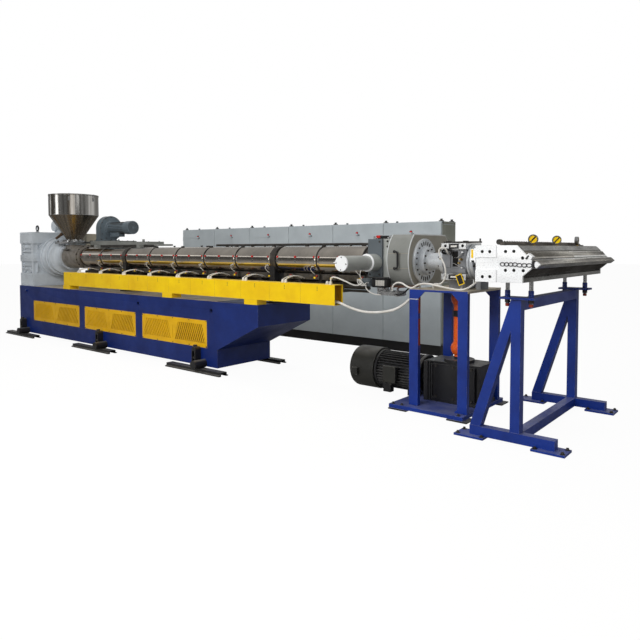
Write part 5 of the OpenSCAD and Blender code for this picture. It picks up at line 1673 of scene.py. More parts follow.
# ---------------------------------------------------------------- screen changer, guard and flanges

@dataclass
class ScreenChanger:
    """Screen changer block with its cylinder, sensors, instrument box and hose fittings."""

    x0: float = 7.7136
    plate_x: float = 7.8893
    end_x: float = 7.9827
    top: float = 1.68
    half: float = 0.24
    ram_x: float = 7.8013
    ram_z: float = 1.434
    box_y: float = -0.3403

    def body(self) -> Shape:
        """Block and foot."""
        return blocks(((self.x0, -self.half, 1.285), (self.plate_x, self.half, self.top)),
                      ((self.x0 + 0.03, -0.2, 1.17), (self.plate_x - 0.02, 0.18, 1.285)))

    def plate(self) -> Shape:
        """The lighter adapter plate with a raised edge beside the block."""
        return blocks(((self.plate_x + 0.008, -0.21, 1.19), (self.end_x, 0.21, self.top)),
                      ((self.plate_x, -0.213, 1.192), (self.plate_x + 0.009, 0.21,
                                                       self.top + 0.002)))

    def screws(self) -> Shape:
        """Screws in the block's corners and on the plate."""
        at = [(self.plate_x - 0.03, -self.half, z) for z in (1.31, 1.65)]
        at += [(self.x0 + 0.025, -self.half, 1.31)]
        at += [(self.plate_x + 0.05, -0.21, z) for z in (1.25, 1.6, 1.655)]
        face = socket_screw(0.022, 0.006, Axis.Y, -1).repeated(np.array(at))
        tops = [(x, y, self.top) for x in (self.x0 + 0.03, self.plate_x - 0.03)
                for y in (-0.12, 0.0, 0.15)]
        return joined([face, socket_screw(0.026, 0.012).repeated(np.array(tops))])

    def ram(self) -> Shape:
        """The hydraulic cylinder's tube and its larger stage, with a groove and two ports."""
        at = (self.ram_x, 0, self.ram_z)
        return joined([
            lathe(at, Axis.Y, [(-0.808, 0.0738), (-0.806, 0.0745), (-0.45, 0.0745),
                               (-0.448, 0.0735), (-0.441, 0.0735), (-0.439, 0.0745),
                               (-0.388, 0.0745)], 64),
            lathe(at, Axis.Y, [(-0.385, 0.088), (-0.382, 0.0905), (-0.245, 0.0905),
                               (-0.2405, 0.0895)], 64),
            rod((self.ram_x - 0.015, -0.77, self.ram_z - 0.088), Axis.Z, 0.026, 0.02, 12),
            rod((self.ram_x - 0.015, -0.68, self.ram_z - 0.088), Axis.Z, 0.026, 0.02, 12),
        ])

    def ram_ends(self) -> Shape:
        """The white end cap with its tapered fitting, and the white ring before the stage."""
        at = (self.ram_x, 0, self.ram_z)
        cap = lathe(at, Axis.Y, [(-0.806, 0.076), (-0.82, 0.0775), (-0.824, 0.075),
                                 (-0.8245, 0.03)], 64)
        ring = lathe(at, Axis.Y, [(-0.384, 0.076), (-0.384, 0.0915), (-0.389, 0.0925),
                                  (-0.395, 0.0905), (-0.396, 0.0765)], 64)
        nose = lathe((self.ram_x - 0.07, -0.815, self.ram_z + 0.01), Axis.X,
                     [(0.01, 0.013), (0, 0.011), (-0.03, 0.002)], 16)
        return joined([cap, ring, nose])

    def ram_bolts(self) -> Shape:
        """Bolts on the end cap."""
        at = on_circle((self.ram_x, -0.8235, self.ram_z), Axis.Y, 0.06, 4, 4)
        return hex_bolt(0.013, 0.003, Axis.Y, -1).repeated(at)

    def sensors(self) -> tuple[Shape, Shape, Shape]:
        """Black switches in a row on the top, with a red cap and pale ends."""
        z, y = self.top + 0.0003, -0.2
        black = [block((7.835, y, z), (7.93, -0.168, 1.714)), block((7.8, -0.188, z),
                                                                    (7.84, -0.176, 1.7))]
        black += [rod((x, y - 0.006, 1.7), Axis.Y, 0.018, 0.04, 12) for x in (7.85, 7.88, 7.91)]
        red = [block((7.794, y - 0.002, z + 0.01), (7.842, -0.166, 1.718)),
               rod((7.818, y - 0.004, 1.7), Axis.Y, 0.022, 0.04)]
        pale = [block((7.93, y, z), (7.95, -0.17, 1.702)), block((7.956, y, z + 0.008),
                                                                 (7.974, -0.17, 1.714)),
                block((7.755, y, z), (7.794, -0.17, 1.71))]
        return joined(black), joined(red), joined(pale)

    def box(self) -> tuple[Shape, Shape, Shape]:
        """The instrument box: dark frame, light face with lines, and the rim plate on top."""
        y, x, z = self.box_y, 7.8343, 1.184
        bars = [((x, z), (8.0173, z + 0.014)), ((x, 1.263), (8.0173, 1.277)),
                ((x, z), (x + 0.034, 1.277)), ((7.984, z), (8.0173, 1.277))]
        dark = [block((a[0], y, a[1]), (b[0], y + 0.012, b[1])) for a, b in bars]
        dark += [block((x, y + 0.01, z), (8.0173, -0.2683, 1.277)),
                 block((x, -0.27, z), (7.969, -0.2103, 1.277)), block((7.7623, -0.3463, 1.276),
                                                                      (7.982, -0.2106, 1.284))]
        face = [block((7.872, y + 0.006, 1.2), (7.98, y + 0.011, 1.256))]
        lines = [block((7.872, y + 0.005, v), (7.98, y + 0.007, v + 0.0012)) for v in (1.215, 1.228,
                                                                                       1.241)]
        lines += [block((u, y + 0.005, 1.2), (u + 0.0012, y + 0.007, 1.256)) for u in (7.9, 7.928,
                                                                                       7.956)]
        return joined(dark), joined(face), joined(lines)

    def fittings(self) -> tuple[Shape, Shape]:
        """The channel with hose fittings, its hanger, and hexagon fittings with spigots."""
        plate = [block((7.902, -0.33, 1.104), (8.134, -0.16, 1.146)), block((7.799, -0.19, 1.1),
                                                                            (7.93, -0.16, 1.1697)),
                 block((7.906, -0.328, 1.0985), (7.925, -0.17, 1.15)), block((8.11, -0.328, 1.0985),
                                                                             (8.13, -0.17, 1.15))]
        parts = []
        for x in (7.939, 8.019, 8.099):
            parts.append(lathe((x, -0.2703, 1.1455), Axis.Z, [(0, 0.017), (0.014, 0.017),
                                                              (0.018, 0.013), (0.022, 0.013)], 6))
            parts.append(rod((x, -0.347, 1.122), Axis.Y, 0.018, 0.02, 10))
        return joined(plate), joined(parts)

    def terminals(self) -> tuple[Shape, Shape]:
        """Terminal box beside the block's foot with a bunch of short white leads over it."""
        boxes = [block((7.6303, -0.26, 1.18), (7.7703, -0.2003, 1.265)), block((7.7, -0.275, 1.19),
                                                                               (7.76, -0.255,
                                                                                1.25))]
        leads = []
        for i in range(4):
            a = 7.64 + 0.012 * i
            path = [(a, -0.262, 1.24 - 0.01 * i), (a - 0.02, -0.3, 1.255), (a + 0.02 * i, -0.31,
                                                                            1.21 - 0.008 * i),
                    (a + 0.05, -0.3, 1.19 + 0.01 * i), (a + 0.07, -0.272, 1.22)]
            leads.append(tube(smooth_path(path, 5), 0.008, 7))
        up = [(7.655, -0.265, 1.25), (7.64, -0.28, 1.29), (7.642, -0.27, 1.34),
              (7.65, -0.24, 1.366), (7.69, -0.2, 1.34)]
        low = [(7.72, -0.28, 1.2), (7.74, -0.31, 1.165), (7.8, -0.33, 1.13), (7.86, -0.335, 1.112),
               (7.94, -0.335, 1.106)]
        leads += [tube(smooth_path(up, 6), 0.01, 8), tube(smooth_path(low, 6), 0.012, 8)]
        return joined(boxes), joined(leads)

    def hoses(self) -> tuple[Shape, Shape]:
        """Brown hoses from the fittings along the guard's underside, and a black loop at their
        side."""
        brown = [tube(smooth_path([(x, -0.2703, 1.17), (x + 0.03, -0.28, 1.19),
                                   (x + 0.1, -0.27 + 0.02 * k, 1.196), (x + 0.2, -0.24, 1.2),
                                   (8.25, -0.2 + 0.03 * k, 1.2)], 6), 0.018, 10) for k,
                 x in enumerate((7.939, 8.019, 8.099))]
        loop = smooth_path([(8.12, -0.335, 1.12), (8.16, -0.34, 1.118), (8.21, -0.33, 1.14),
                            (8.235, -0.3, 1.175), (8.24, -0.25, 1.196)], 6)
        return joined(brown), tube(loop, 0.016, 10)

    def build(self, f: Finishes) -> list[bpy.types.Object]:
        """Makes all pieces of the screen changer."""
        black, red, pale = self.sensors()
        frame_part, face, bars = self.box()
        plate, parts = self.fittings()
        boxes, leads = self.terminals()
        brown, loop = self.hoses()
        grey, dark = Piece("guard_grey"), Piece("black_paint")
        steel = Piece("machined_steel")
        return [
            to_object("changer_block", self.body(), f.slate,
                      Piece("blower_grey", ("screen_changer",)), 0.004),
            to_object("adapter_plate", self.plate(), f.warm_grey, grey, 0.002),
            to_object("changer_screws", self.screws(), f.dark, Piece("dark_steel")),
            to_object("ram_tube", self.ram(), f.warm_grey,
                      Piece("guard_grey", ("hydraulic_cylinder",))),
            to_object("ram_ends", self.ram_ends(), f.enamel, grey),
            to_object("ram_bolts", self.ram_bolts(), f.dark, steel),
            to_object("switches", black, f.rubber, Piece("black_paint", ("instruments",)), 0.002),
            to_object("switch_cap", red, f.red, dark, 0.003),
            to_object("switch_ends", pale, f.bright, dark, 0.002),
            to_object("instrument_frame", frame_part, f.black, dark, 0.002),
            to_object("instrument_face", face, f.white, dark, 0.001),
            to_object("instrument_lines", bars, f.black, dark),
            to_object("fitting_plate", plate, f.steel, steel, 0.002),
            to_object("hose_fittings", parts, f.bright, steel),
            to_object("terminal_box", boxes, f.slate, dark, 0.002),
            to_object("terminal_leads", leads, f.white, Piece("cable_white")),
            to_object("brown_hoses", brown, f.hose_brown, dark),
            to_object("black_hose", loop, f.rubber, dark),
        ]


@dataclass
class Guard:
    """The guard: bulged on its near side, square behind, with creases, bright rims and a bow
    handle."""

    x0: float = 7.983
    length: float = 0.257
    radius: float = 0.346
    centre: tuple[float, float] = (0.05, 1.464)
    height: float = 0.517
    back: float = 0.54
    chamfer: float = 0.07

    def outline(self, grow: float = 0.0) -> list[tuple[float, float]]:
        """Section of the guard: an arc towards -y that ends in the flat top and bottom.

        Args:
            grow: how far the outline lies outside the hood's own.
        """
        y, z = self.centre
        h = self.height / 2
        a = math.asin(h / self.radius)
        r = self.radius + grow
        turn = np.linspace(math.pi - a, math.pi + a, 41)
        arc = [(y + r * math.cos(t), z + (h + grow) / math.sin(a) * math.sin(t)) for t in turn]
        return arc + [(self.back, z - h - grow), (self.back, z + h + grow - self.chamfer),
                      (self.back - self.chamfer, z + h + grow)]

    def hood(self) -> Shape:
        """The sheet hood between its two end rims."""
        return prism(self.outline(), Axis.X, self.x0 + 0.006, self.x0 + self.length - 0.004)

    def rims(self) -> Shape:
        """Rolled rims at both ends of the hood."""
        x1 = self.x0 + self.length
        return joined([prism(self.outline(0.003), Axis.X, self.x0, self.x0 + 0.009),
                       prism(self.outline(0.003), Axis.X, x1 - 0.008, x1)])

    def creases(self) -> Shape:
        """Two folds that run along the hood's near side."""
        made = []
        for z in (1.38, 1.53):
            y = self.centre[0] - math.sqrt(self.radius ** 2 - (z - self.centre[1]) ** 2)
            made.append(block((self.x0 + 0.009, y - 0.003, z - 0.0025),
                              (self.x0 + self.length - 0.008, y + 0.006, z + 0.0025)))
        return joined(made)

    def end_panel(self) -> Shape:
        """The end panel behind the flanges, in two sheets with a fold line between them."""
        x, y, z = self.x0 + self.length, self.centre[0], self.centre[1]
        ring = self.outline(-0.008)
        return joined([prism(ring, Axis.X, x - 0.002, x + 0.0012),
                       block((x, y + 0.1, z + 0.1), (x + 0.0025, self.back - 0.012, z + 0.104))])

    def handle(self) -> Shape:
        """The bow handle, with lugs to its left."""
        x, z0, y0 = self.x0 + 0.14, self.centre[1], self.centre[0] - self.radius
        path = smooth_path([(x - 0.05, y0 + 0.016, z0 - 0.085), (x - 0.03, y0 - 0.012, z0 - 0.085),
                            (x, y0 - 0.022, z0 - 0.07), (x, y0 - 0.022, z0),
                            (x, y0 - 0.022, z0 + 0.07), (x - 0.03, y0 - 0.012, z0 + 0.085),
                            (x - 0.05, y0 + 0.016, z0 + 0.085)], 7)
        lugs = [rod((x - 0.05, y0 - 0.002, z0 + k), Axis.Y, 0.03, 0.022, 16) for k in (-0.085,
                                                                                       0.085)]
        return joined([tube(path, 0.019, 12), *lugs])

    def build(self, f: Finishes) -> list[bpy.types.Object]:
        """Makes all pieces of the guard."""
        grey = Piece("guard_grey")
        return [
            to_object("guard_hood", self.hood(), f.hood, Piece("guard_grey", ("guard_drum",)),
                      0.003),
            to_object("guard_rims", self.rims(), f.rim, grey, 0.002),
            to_object("guard_creases", self.creases(), f.beige_grey, grey),
            to_object("guard_panel", self.end_panel(), f.beige_grey, grey, 0.001),
            to_object("guard_handle", self.handle(), f.black, Piece("black_paint")),
        ]


@dataclass
class Flanges:
    """Slotted flange, stepped ring and neck between guard and pump, and the pump's round flange."""

    x0: float = 8.2403
    z: float = 1.45
    radius: float = 0.231
    length: float = 0.2894

    def turned_part(self) -> Shape:
        """Flange with a groove near its edge, the ring on it, the neck and the pump's flange."""
        r, n = self.radius, self.length
        return lathe((self.x0, 0, self.z), Axis.X, [(0, r - 0.004), (0.003, r), (0.02, r),
                                                    (0.026, r - 0.006), (0.026, r - 0.014),
                                                    (0.024, r - 0.016), (0.024, r - 0.02),
                                                    (0.026, r - 0.022), (0.026, 0.142),
                                                    (0.074, 0.142), (0.079, 0.137), (0.079, 0.1),
                                                    (0.082, 0.098), (0.092, 0.09), (0.096, 0.086),
                                                    (n - 0.06, 0.086), (n - 0.052, 0.092),
                                                    (n - 0.052, 0.126), (n - 0.048, 0.13),
                                                    (n - 0.004, 0.13), (n, 0.126)], 96)

    def slots(self) -> Shape:
        """Five slots above and five below, as dark pockets with round ends, 13 degrees from each
        other."""
        # The slots are black pockets of painted shade.
        made = []
        for i in range(5):
            pocket = [block((self.x0 + 0.0245, -0.0095, 0.168), (self.x0 + 0.0268, 0.0095, 0.196))]
            pocket += [rod((self.x0 + 0.0245, 0, v), Axis.X, 0.019, 0.0023, 16)
                       for v in (0.168, 0.196)]
            for side in (0, 180):
                made.append(joined(pocket).turned(Axis.X, side + (i - 2) * 13).moved(
                    (0, 0, self.z)))
        return joined(made)

    def bolts(self) -> Shape:
        """Socket screws on the flange's sides, on the ring and on the pump's flange."""
        x = self.x0
        sides = np.vstack([on_circle((x + 0.026, 0, self.z), Axis.X, 0.186, 6, a, 90)
                           for a in (-45, 135)])
        ring = on_circle((x + 0.079, 0, self.z), Axis.X, 0.12, 10, 9)
        pump = on_circle((x + self.length - 0.052, 0, self.z), Axis.X, 0.112, 8, 22.5)
        return joined([socket_screw(0.018, 0.006, Axis.X).repeated(sides),
                       socket_screw(0.017, 0.012, Axis.X).repeated(ring), socket_screw(0.018, 0.014,
                                                                                       Axis.X,
                                                                                       -1).repeated(
                                                                                           pump)])

    def post(self) -> Shape:
        """The bar that stands on the pump stand under the flange, with a foot nut."""
        return joined([rod((self.x0 + 0.013, -0.11, TABLE_Z + 0.0003), Axis.Z, 0.024, 0.1, 20),
                       lathe((self.x0 + 0.013, -0.11, TABLE_Z + 0.0003), Axis.Z,
                             [(0, 0.022), (0.016, 0.022)], 6)])

    def build(self, f: Finishes) -> list[bpy.types.Object]:
        """Makes all pieces of the flanges."""
        steel = Piece("machined_steel")
        return [
            to_object("slotted_flange", self.turned_part(), f.turned, Piece("machined_steel",
                                                                            ("adapter_neck",))),
            to_object("flange_slots", self.slots(), f.recess_shade, steel),
            to_object("flange_screws", self.bolts(), f.dark, steel),
            to_object("flange_post", self.post(), f.bright, steel),
        ]


# ---------------------------------------------------------------- melt pump

@dataclass
class MeltPump:
    """Melt pump between bright end plates, on its pedestal and posts, with fittings and a blank
    tag."""

    axis_z: float = 1.452
    x0: float = 8.5303
    x1: float = 8.7917
    z0: float = 1.2745
    z1: float = 1.6315
    half: float = 0.17
    plate: float = 0.063

    def plates(self) -> Shape:
        """The two bright end plates."""
        return blocks(((self.x0, -self.half, self.z0), (self.x1, self.half, self.z0 + self.plate)),
                      ((self.x0, -self.half, self.z1 - self.plate), (self.x1, self.half, self.z1)))

    def plate_holes(self) -> Shape:
        """Dark counterbores, two on the near end of each plate."""
        # The counterbores are black discs of painted shade.
        made = []
        for z in (self.z0 + self.plate / 2, self.z1 - self.plate / 2 + 0.004):
            for x in (8.575, 8.755):
                made.append(lathe((x, -self.half - 0.0006, z), Axis.Y, [(0, 0.014), (0.003, 0.014)],
                                  20))
        return joined(made)

    def insets(self) -> tuple[Shape, Shape]:
        """Dark frames in the middle of the plates, each with a blank pale tag."""
        dark, pale = [], []
        for z in (self.z0 + self.plate / 2, self.z1 - self.plate / 2):
            dark.append(block((8.612, -self.half - 0.0012, z - 0.025), (8.716, -self.half + 0.004,
                                                                        z + 0.025)))
            pale.append(block((8.632, -self.half - 0.0024, z - 0.009), (8.696, -self.half + 0.002,
                                                                        z + 0.009)))
        return joined(dark), joined(pale)

    def body(self) -> Shape:
        """Dark body with its step and pedestal, and a strip low on its near face."""
        za, zb = self.z0 + self.plate, self.z1 - self.plate
        return blocks(((self.x0 + 0.006, -self.half + 0.02, za), (self.x1 - 0.006, self.half - 0.02,
                                                                  zb)),
                      ((self.x0 + 0.006, -self.half + 0.008, za + 0.06),
                       (self.x0 + 0.096, self.half - 0.02, zb - 0.03)),
                      ((self.x0 + 0.04, -0.08, TABLE_Z + 0.0003), (self.x1 - 0.04, 0.08, self.z0)),
                      ((self.x0 + 0.1, -self.half + 0.012, za + 0.006),
                       (self.x1 - 0.012, -self.half + 0.022, za + 0.05)))

    def rail(self) -> Shape:
        """The rail on the top with its pin and clamps."""
        z = self.z1
        return joined([block((self.x0 - 0.012, -0.1, z), (self.x1 + 0.11, -0.06, z + 0.016)),
                       rod((self.x1 + 0.1, -0.08, z + 0.016), Axis.Z, 0.016, 0.026, 16),
                       block((self.x0 + 0.02, -0.112, z), (self.x0 + 0.05, -0.048, z + 0.022)),
                       block((self.x0 + 0.2, -0.112, z), (self.x0 + 0.23, -0.048, z + 0.022))])

    def window(self) -> Shape:
        """The black square opening in the body's near face."""
        # The opening is a black block of painted shade.
        return block((8.644, -0.1512, 1.405), (8.7, -0.146, 1.553))

    def fittings(self) -> tuple[Shape, Shape]:
        """Brass plugs and pale cable glands on the near face."""
        y = -0.15
        brass = [lathe((8.735, y, 1.475), Axis.Y, [(0, 0.014), (-0.012, 0.014), (-0.02, 0.009),
                                                   (-0.034, 0.009)], 6), lathe((8.715, y, 1.44),
                                                                               Axis.Y,
                                                                               [(0, 0.012),
                                                                                (-0.01, 0.012),
                                                                                (-0.018, 0.007),
                                                                                (-0.026, 0.007)],
                                                                               6),
                 lathe((8.532, -0.13, 1.478), Axis.X, [(0, 0.01), (-0.02, 0.01), (-0.028, 0.006),
                                                       (-0.04, 0.006)], 6)]
        pale = [lathe((8.755, y, 1.543), Axis.Y, [(0, 0.013), (-0.012, 0.013), (-0.02, 0.008),
                                                  (-0.028, 0.008)], 12), lathe((8.752, y, 1.395),
                                                                               Axis.Y,
                                                                               [(0, 0.013),
                                                                                (-0.012, 0.013),
                                                                                (-0.02, 0.008),
                                                                                (-0.028, 0.008)],
                                                                               12),
                lathe((8.575, -0.162, 1.545), Axis.Y, [(0, 0.012), (-0.012, 0.012),
                                                       (-0.022, 0.007)], 12)]
        return joined(brass), joined(pale)

    def leads(self) -> tuple[Shape, Shape]:
        """Short black loops over the near face, and thin bright capillaries beside the window."""
        black = tube(smooth_path([(8.575, -0.165, 1.53), (8.56, -0.2, 1.54), (8.575, -0.215, 1.562),
                                  (8.61, -0.2, 1.57), (8.64, -0.175, 1.552), (8.648, -0.155, 1.51)],
                                 6), 0.02, 10)
        silver = [tube(smooth_path([(8.66, -0.15, 1.49), (8.7, -0.165, 1.492),
                                    (8.735, -0.172, 1.515), (8.753, -0.172, 1.54)], 6), 0.009, 8),
                  tube(smooth_path([(8.64, -0.152, 1.44), (8.68, -0.168, 1.43),
                                    (8.72, -0.172, 1.41), (8.75, -0.172, 1.397)], 6), 0.008, 8)]
        return black, joined(silver)

    def tag(self) -> tuple[Shape, Shape]:
        """A blank dark tag with a yellow border that hangs askew before the lower plate."""
        edge = block((-0.032, -0.003, -0.052), (0.032, 0, 0.052))
        face = block((-0.024, -0.0042, -0.044), (0.024, -0.001, 0.044))
        at = (8.735, -self.half - 0.004, 1.282)
        return edge.turned(Axis.Y, -22).moved(at), face.turned(Axis.Y, -22).moved(at)

    def posts(self) -> Shape:
        """Bright posts under the lower plate with nuts on the table."""
        made = []
        for y in (-self.half + 0.03, self.half - 0.03):
            made.append(rod((self.x1 - 0.05, y, TABLE_Z + 0.0003), Axis.Z, 0.028, self.z0 - TABLE_Z,
                            24))
            made.append(lathe((self.x1 - 0.05, y, TABLE_Z + 0.0003), Axis.Z,
                              [(0, 0.026), (0.02, 0.026)], 6))
        return joined(made)

    def die_flange(self) -> tuple[Shape, Shape, Shape]:
        """The round flange towards the die, the square neck with its block, and the flange's
        screws."""
        x = self.x1 + 0.0006
        disc = lathe((x, 0, self.axis_z), Axis.X, [(0, 0.168), (0.004, 0.172), (0.018, 0.172),
                                                   (0.022, 0.168), (0.022, 0.16), (0.056, 0.16),
                                                   (0.06, 0.156)], 96)
        neck = [block((x + 0.05, -0.11, 1.346), (9.3037, 0.11, 1.562)),
                block((x + 0.066, -0.09, 1.1843), (8.906, 0.09, 1.347))]
        neck += [block((x + 0.09 + 0.1 * i, -0.114, 1.342), (x + 0.1 + 0.1 * i, 0.114, 1.566))
                 for i in range(4)]
        at = on_circle((x + 0.06, 0, self.axis_z), Axis.X, 0.14, 12, 15)
        return disc, joined(neck), socket_screw(0.024, 0.014, Axis.X).repeated(at)

    def build(self, f: Finishes) -> list[bpy.types.Object]:
        """Makes all pieces of the melt pump."""
        dark_inset, pale_tag = self.insets()
        brass, pale = self.fittings()
        black, silver = self.leads()
        edge, face = self.tag()
        disc, neck, flange_bolts = self.die_flange()
        dark, steel = Piece("dark_steel"), Piece("machined_steel")
        return [
            to_object("pump_body", self.body(), f.iron, Piece("dark_steel", ("melt_pump",)), 0.004),
            to_object("pump_plates", self.plates(), f.bright, steel, 0.003),
            to_object("pump_plate_holes", self.plate_holes(), f.recess_shade, dark),
            to_object("pump_insets", dark_inset, f.black, dark, 0.001),
            to_object("pump_blank_tags", pale_tag, f.white, dark, 0.0005),
            to_object("pump_window", self.window(), f.recess_shade, dark),
            to_object("pump_rail", self.rail(), f.dark, dark, 0.002),
            to_object("pump_brass", brass, f.brass, dark),
            to_object("pump_glands", pale, f.bright, dark),
            to_object("pump_loop", black, f.rubber, dark),
            to_object("pump_capillaries", silver, f.bright, dark),
            to_object("tag_border", edge, f.yellow, dark),
            to_object("tag_face", face, f.black, dark),
            to_object("pump_posts", self.posts(), f.bright, steel),
            to_object("die_flange_disc", disc, f.turned, Piece("machined_steel", ("die_adapter",))),
            to_object("die_neck", neck, f.iron, dark, 0.003),
            to_object("die_flange_screws", flange_bolts, f.dark, dark),
        ]


# ---------------------------------------------------------------- die

@dataclass
class Die:
    """Wide flat die: halves, bright end plates with holes, lip strips, bolts, gauges and support
    screws."""

    x: float = 9.304
    half: float = 1.083
    top: float = 1.601
    low: float = 1.323
    lip: tuple[float, float] = (9.803, 1.459)
    bolt_x: float = 9.51
    bolt_z: float = 1.581
    bolts: int = 40
    gauge_ys: tuple[float, ...] = (-0.498, 0.0975, 0.704)
    screw_xs: tuple[float, ...] = (9.424, 9.614)

    def holes(self) -> Shape:
        """Dark holes of the near and the far end plate."""
        # The end plates' holes are black discs of painted shade.
        near = ((9.36, 1.554), (9.42, 1.554), (9.54, 1.555), (9.603, 1.556), (9.669, 1.507),
                (9.363, 1.362), (9.423, 1.364), (9.541, 1.414), (9.605, 1.415), (9.675, 1.415))
        made = []
        for s in (-1, 1):
            for x, z in near:
                face = self.half - (0.001 if x < 9.45 else 0.009)
                made.append(lathe((x, s * face, z), Axis.Y, [(0, 0.0125), (s * 0.0012, 0.0122)],
                                  20))
        return joined(made)

    def chain(self) -> Shape:
        """A row of black links on the near end plate, four and then three."""
        made = []
        rows = ((9.502, 9.629, 4, 1.459), (9.629, 9.736, 3, 1.454))
        a = np.linspace(0, TAU, 21)
        for x0, x1, n, z in rows:
            step = (x1 - x0) / n
            for i in range(n):
                c = x0 + (i + 0.5) * step
                ring = np.stack([c + 0.55 * step * np.cos(a),
                                 np.full_like(a, -self.half + 0.0055 - 0.001 * (i % 2)),
                                 z + 0.013 * np.sin(a)], 1)
                made.append(tube(ring, 0.007, 8))
        return joined(made)

    def raised(self) -> Shape:
        """Angle plate left of the near end plate, with a lug."""
        y = -self.half
        return blocks(((9.262, y + 0.002, 1.47), (9.304, y + 0.03, 1.574)),
                      ((9.29, y + 0.001, 1.505), (9.33, y + 0.03, 1.58)))

    def marks(self) -> tuple[Shape, Shape, Shape]:
        """Yellow strip and dark clip of the angle plate, and the white lip block with its dark
        bracket."""
        y = -self.half
        yellow = block((9.27, y, 1.505), (9.286, y + 0.006, 1.57))
        dark = [block((9.272, y - 0.0002, 1.47), (9.294, y + 0.006, 1.486)),
                block((9.745, y - 0.0002, 1.436), (9.76, y + 0.02, 1.486))]
        dark.append(block((9.7, y, 1.496), (9.712, y + 0.008, 1.53)).turned(Axis.Y, 42,
                                                                            (9.706, y, 1.513)))
        white = [prism([(1.459, 9.748), (1.484, 9.772), (1.459, 9.8), (1.434, 9.772)], Axis.Y, y,
                       y + 0.045), block((9.7, y, 1.505), (9.742, y + 0.05, 1.533)).turned(Axis.Y,
                                                                                           38,
                                                                                           (9.72, y,
                                                                                            1.519))]
        return yellow, joined(dark), joined(white)

    def lips(self) -> tuple[Shape, Shape, Shape]:
        """Lip strips: dark near the end and bright behind it, with the dark joint between the
        halves."""
        # The far part of the strips is drawn in near-white steel as a painted highlight; the near
        # part keeps the lower die steel.
        w, cut = self.half - 0.034, -0.6
        up = [(1.494, 9.728), (1.4965, 9.7315), (1.466, 9.7955), (1.461, 9.798), (1.461, 9.788)]
        down = [(1.455, 9.79), (1.453, 9.795), (1.436, 9.758), (1.44, 9.754)]
        far_highlit = [prism(up, Axis.Y, cut, w), prism(down, Axis.Y, cut, w)]
        dull = [prism(up, Axis.Y, -w, cut - 0.002), prism(down, Axis.Y, -w, cut - 0.002)]
        joint = [block((9.76, -w, 1.4565), (9.8, w, 1.4602))]
        joint.append(prism([(1.4985, 9.7265), (1.5015, 9.7295), (1.4955, 9.7335), (1.492, 9.73)],
                           Axis.Y, -w, w))
        return joined(far_highlit), joined(dull), joined(joint)

    def slope(self) -> tuple[Shape, Shape, Shape]:
        """Bars on the upper slope: a dark clamp bar along its top, and a flat bar, brighter at its
        far half."""
        p, q = np.array([9.628, 1.598]), np.array([9.73, 1.496])
        way = (q - p) / np.linalg.norm(q - p)
        out = np.array([-way[1], way[0]])
        w = self.half - 0.034
        made = []
        # The far half of the flat bar is a separate copy so that it can carry a painted highlight.
        for a, b, rise, y0, y1 in ((0.05, 0.4, 0.005, -w, w), (0.46, 0.97, 0.0035, -w, 0.0),
                                   (0.46, 0.97, 0.0035, 0.001, w)):
            u, v = p + (q - p) * a, p + (q - p) * b
            pts = [(t[1], t[0]) for t in (u, v, v + out * rise, u + out * rise)]
            made.append(prism(pts, Axis.Y, y0, y1))
        return made[0], made[1], made[2]

    def ribs(self) -> Shape:
        """Slanted ribs over the lower slope, above the toothed bottom bar."""
        w, n = self.half - 0.06, 60
        made = []
        p, q = np.array([9.733, 1.426]), np.array([9.678, 1.38])
        for i in range(n):
            y = -w + 2 * w * i / (n - 1)
            made.append(bar_between((p[0] + 0.001, y, p[1]), (q[0] + 0.001, y - 0.02, q[1]), 0.012))
        teeth = block((9.668, -0.006, 1.356), (9.6745, 0.006, 1.372)).repeated(
            np.stack([np.zeros(60), np.linspace(-w, w, 60), np.zeros(60)], 1))
        return joined([*made, teeth])

    def lip_bolts(self) -> tuple[Shape, Shape]:
        """Adjusting bolts, leaning 45 degrees back: dark shanks, and heads with a round
        top."""
        shank = lathe(ORIGIN, Axis.Z, [(0, 0.007), (0.045, 0.007)], 8).turned(Axis.Y, -45)
        head = lathe(ORIGIN, Axis.Z, [(0.024, 0.0115), (0.054, 0.0115), (0.058, 0.008),
                                      (0.072, 0.0075), (0.076, 0.004)], 10).turned(Axis.Y, -45)
        y = np.linspace(-self.half + 0.08, self.half - 0.08, self.bolts)
        at = np.stack([np.full_like(y, self.bolt_x), y, np.full_like(y, self.bolt_z)], 1)
        bar = block((self.bolt_x - 0.03, -self.half + 0.05, self.top - 0.002),
                    (self.bolt_x, self.half - 0.05, self.top + 0.012))
        ring = lathe((9.475, -self.half + 0.04, self.top + 0.026), Axis.Y,
                     [(0, 0.01), (-0.002, 0.021), (0.03, 0.021), (0.032, 0.01)], 20)
        return joined([shank.repeated(at), bar, ring]), joined([head.repeated(at), block(
            (9.49, -self.half + 0.03, self.top), (9.515, -self.half + 0.05, self.top + 0.022))])

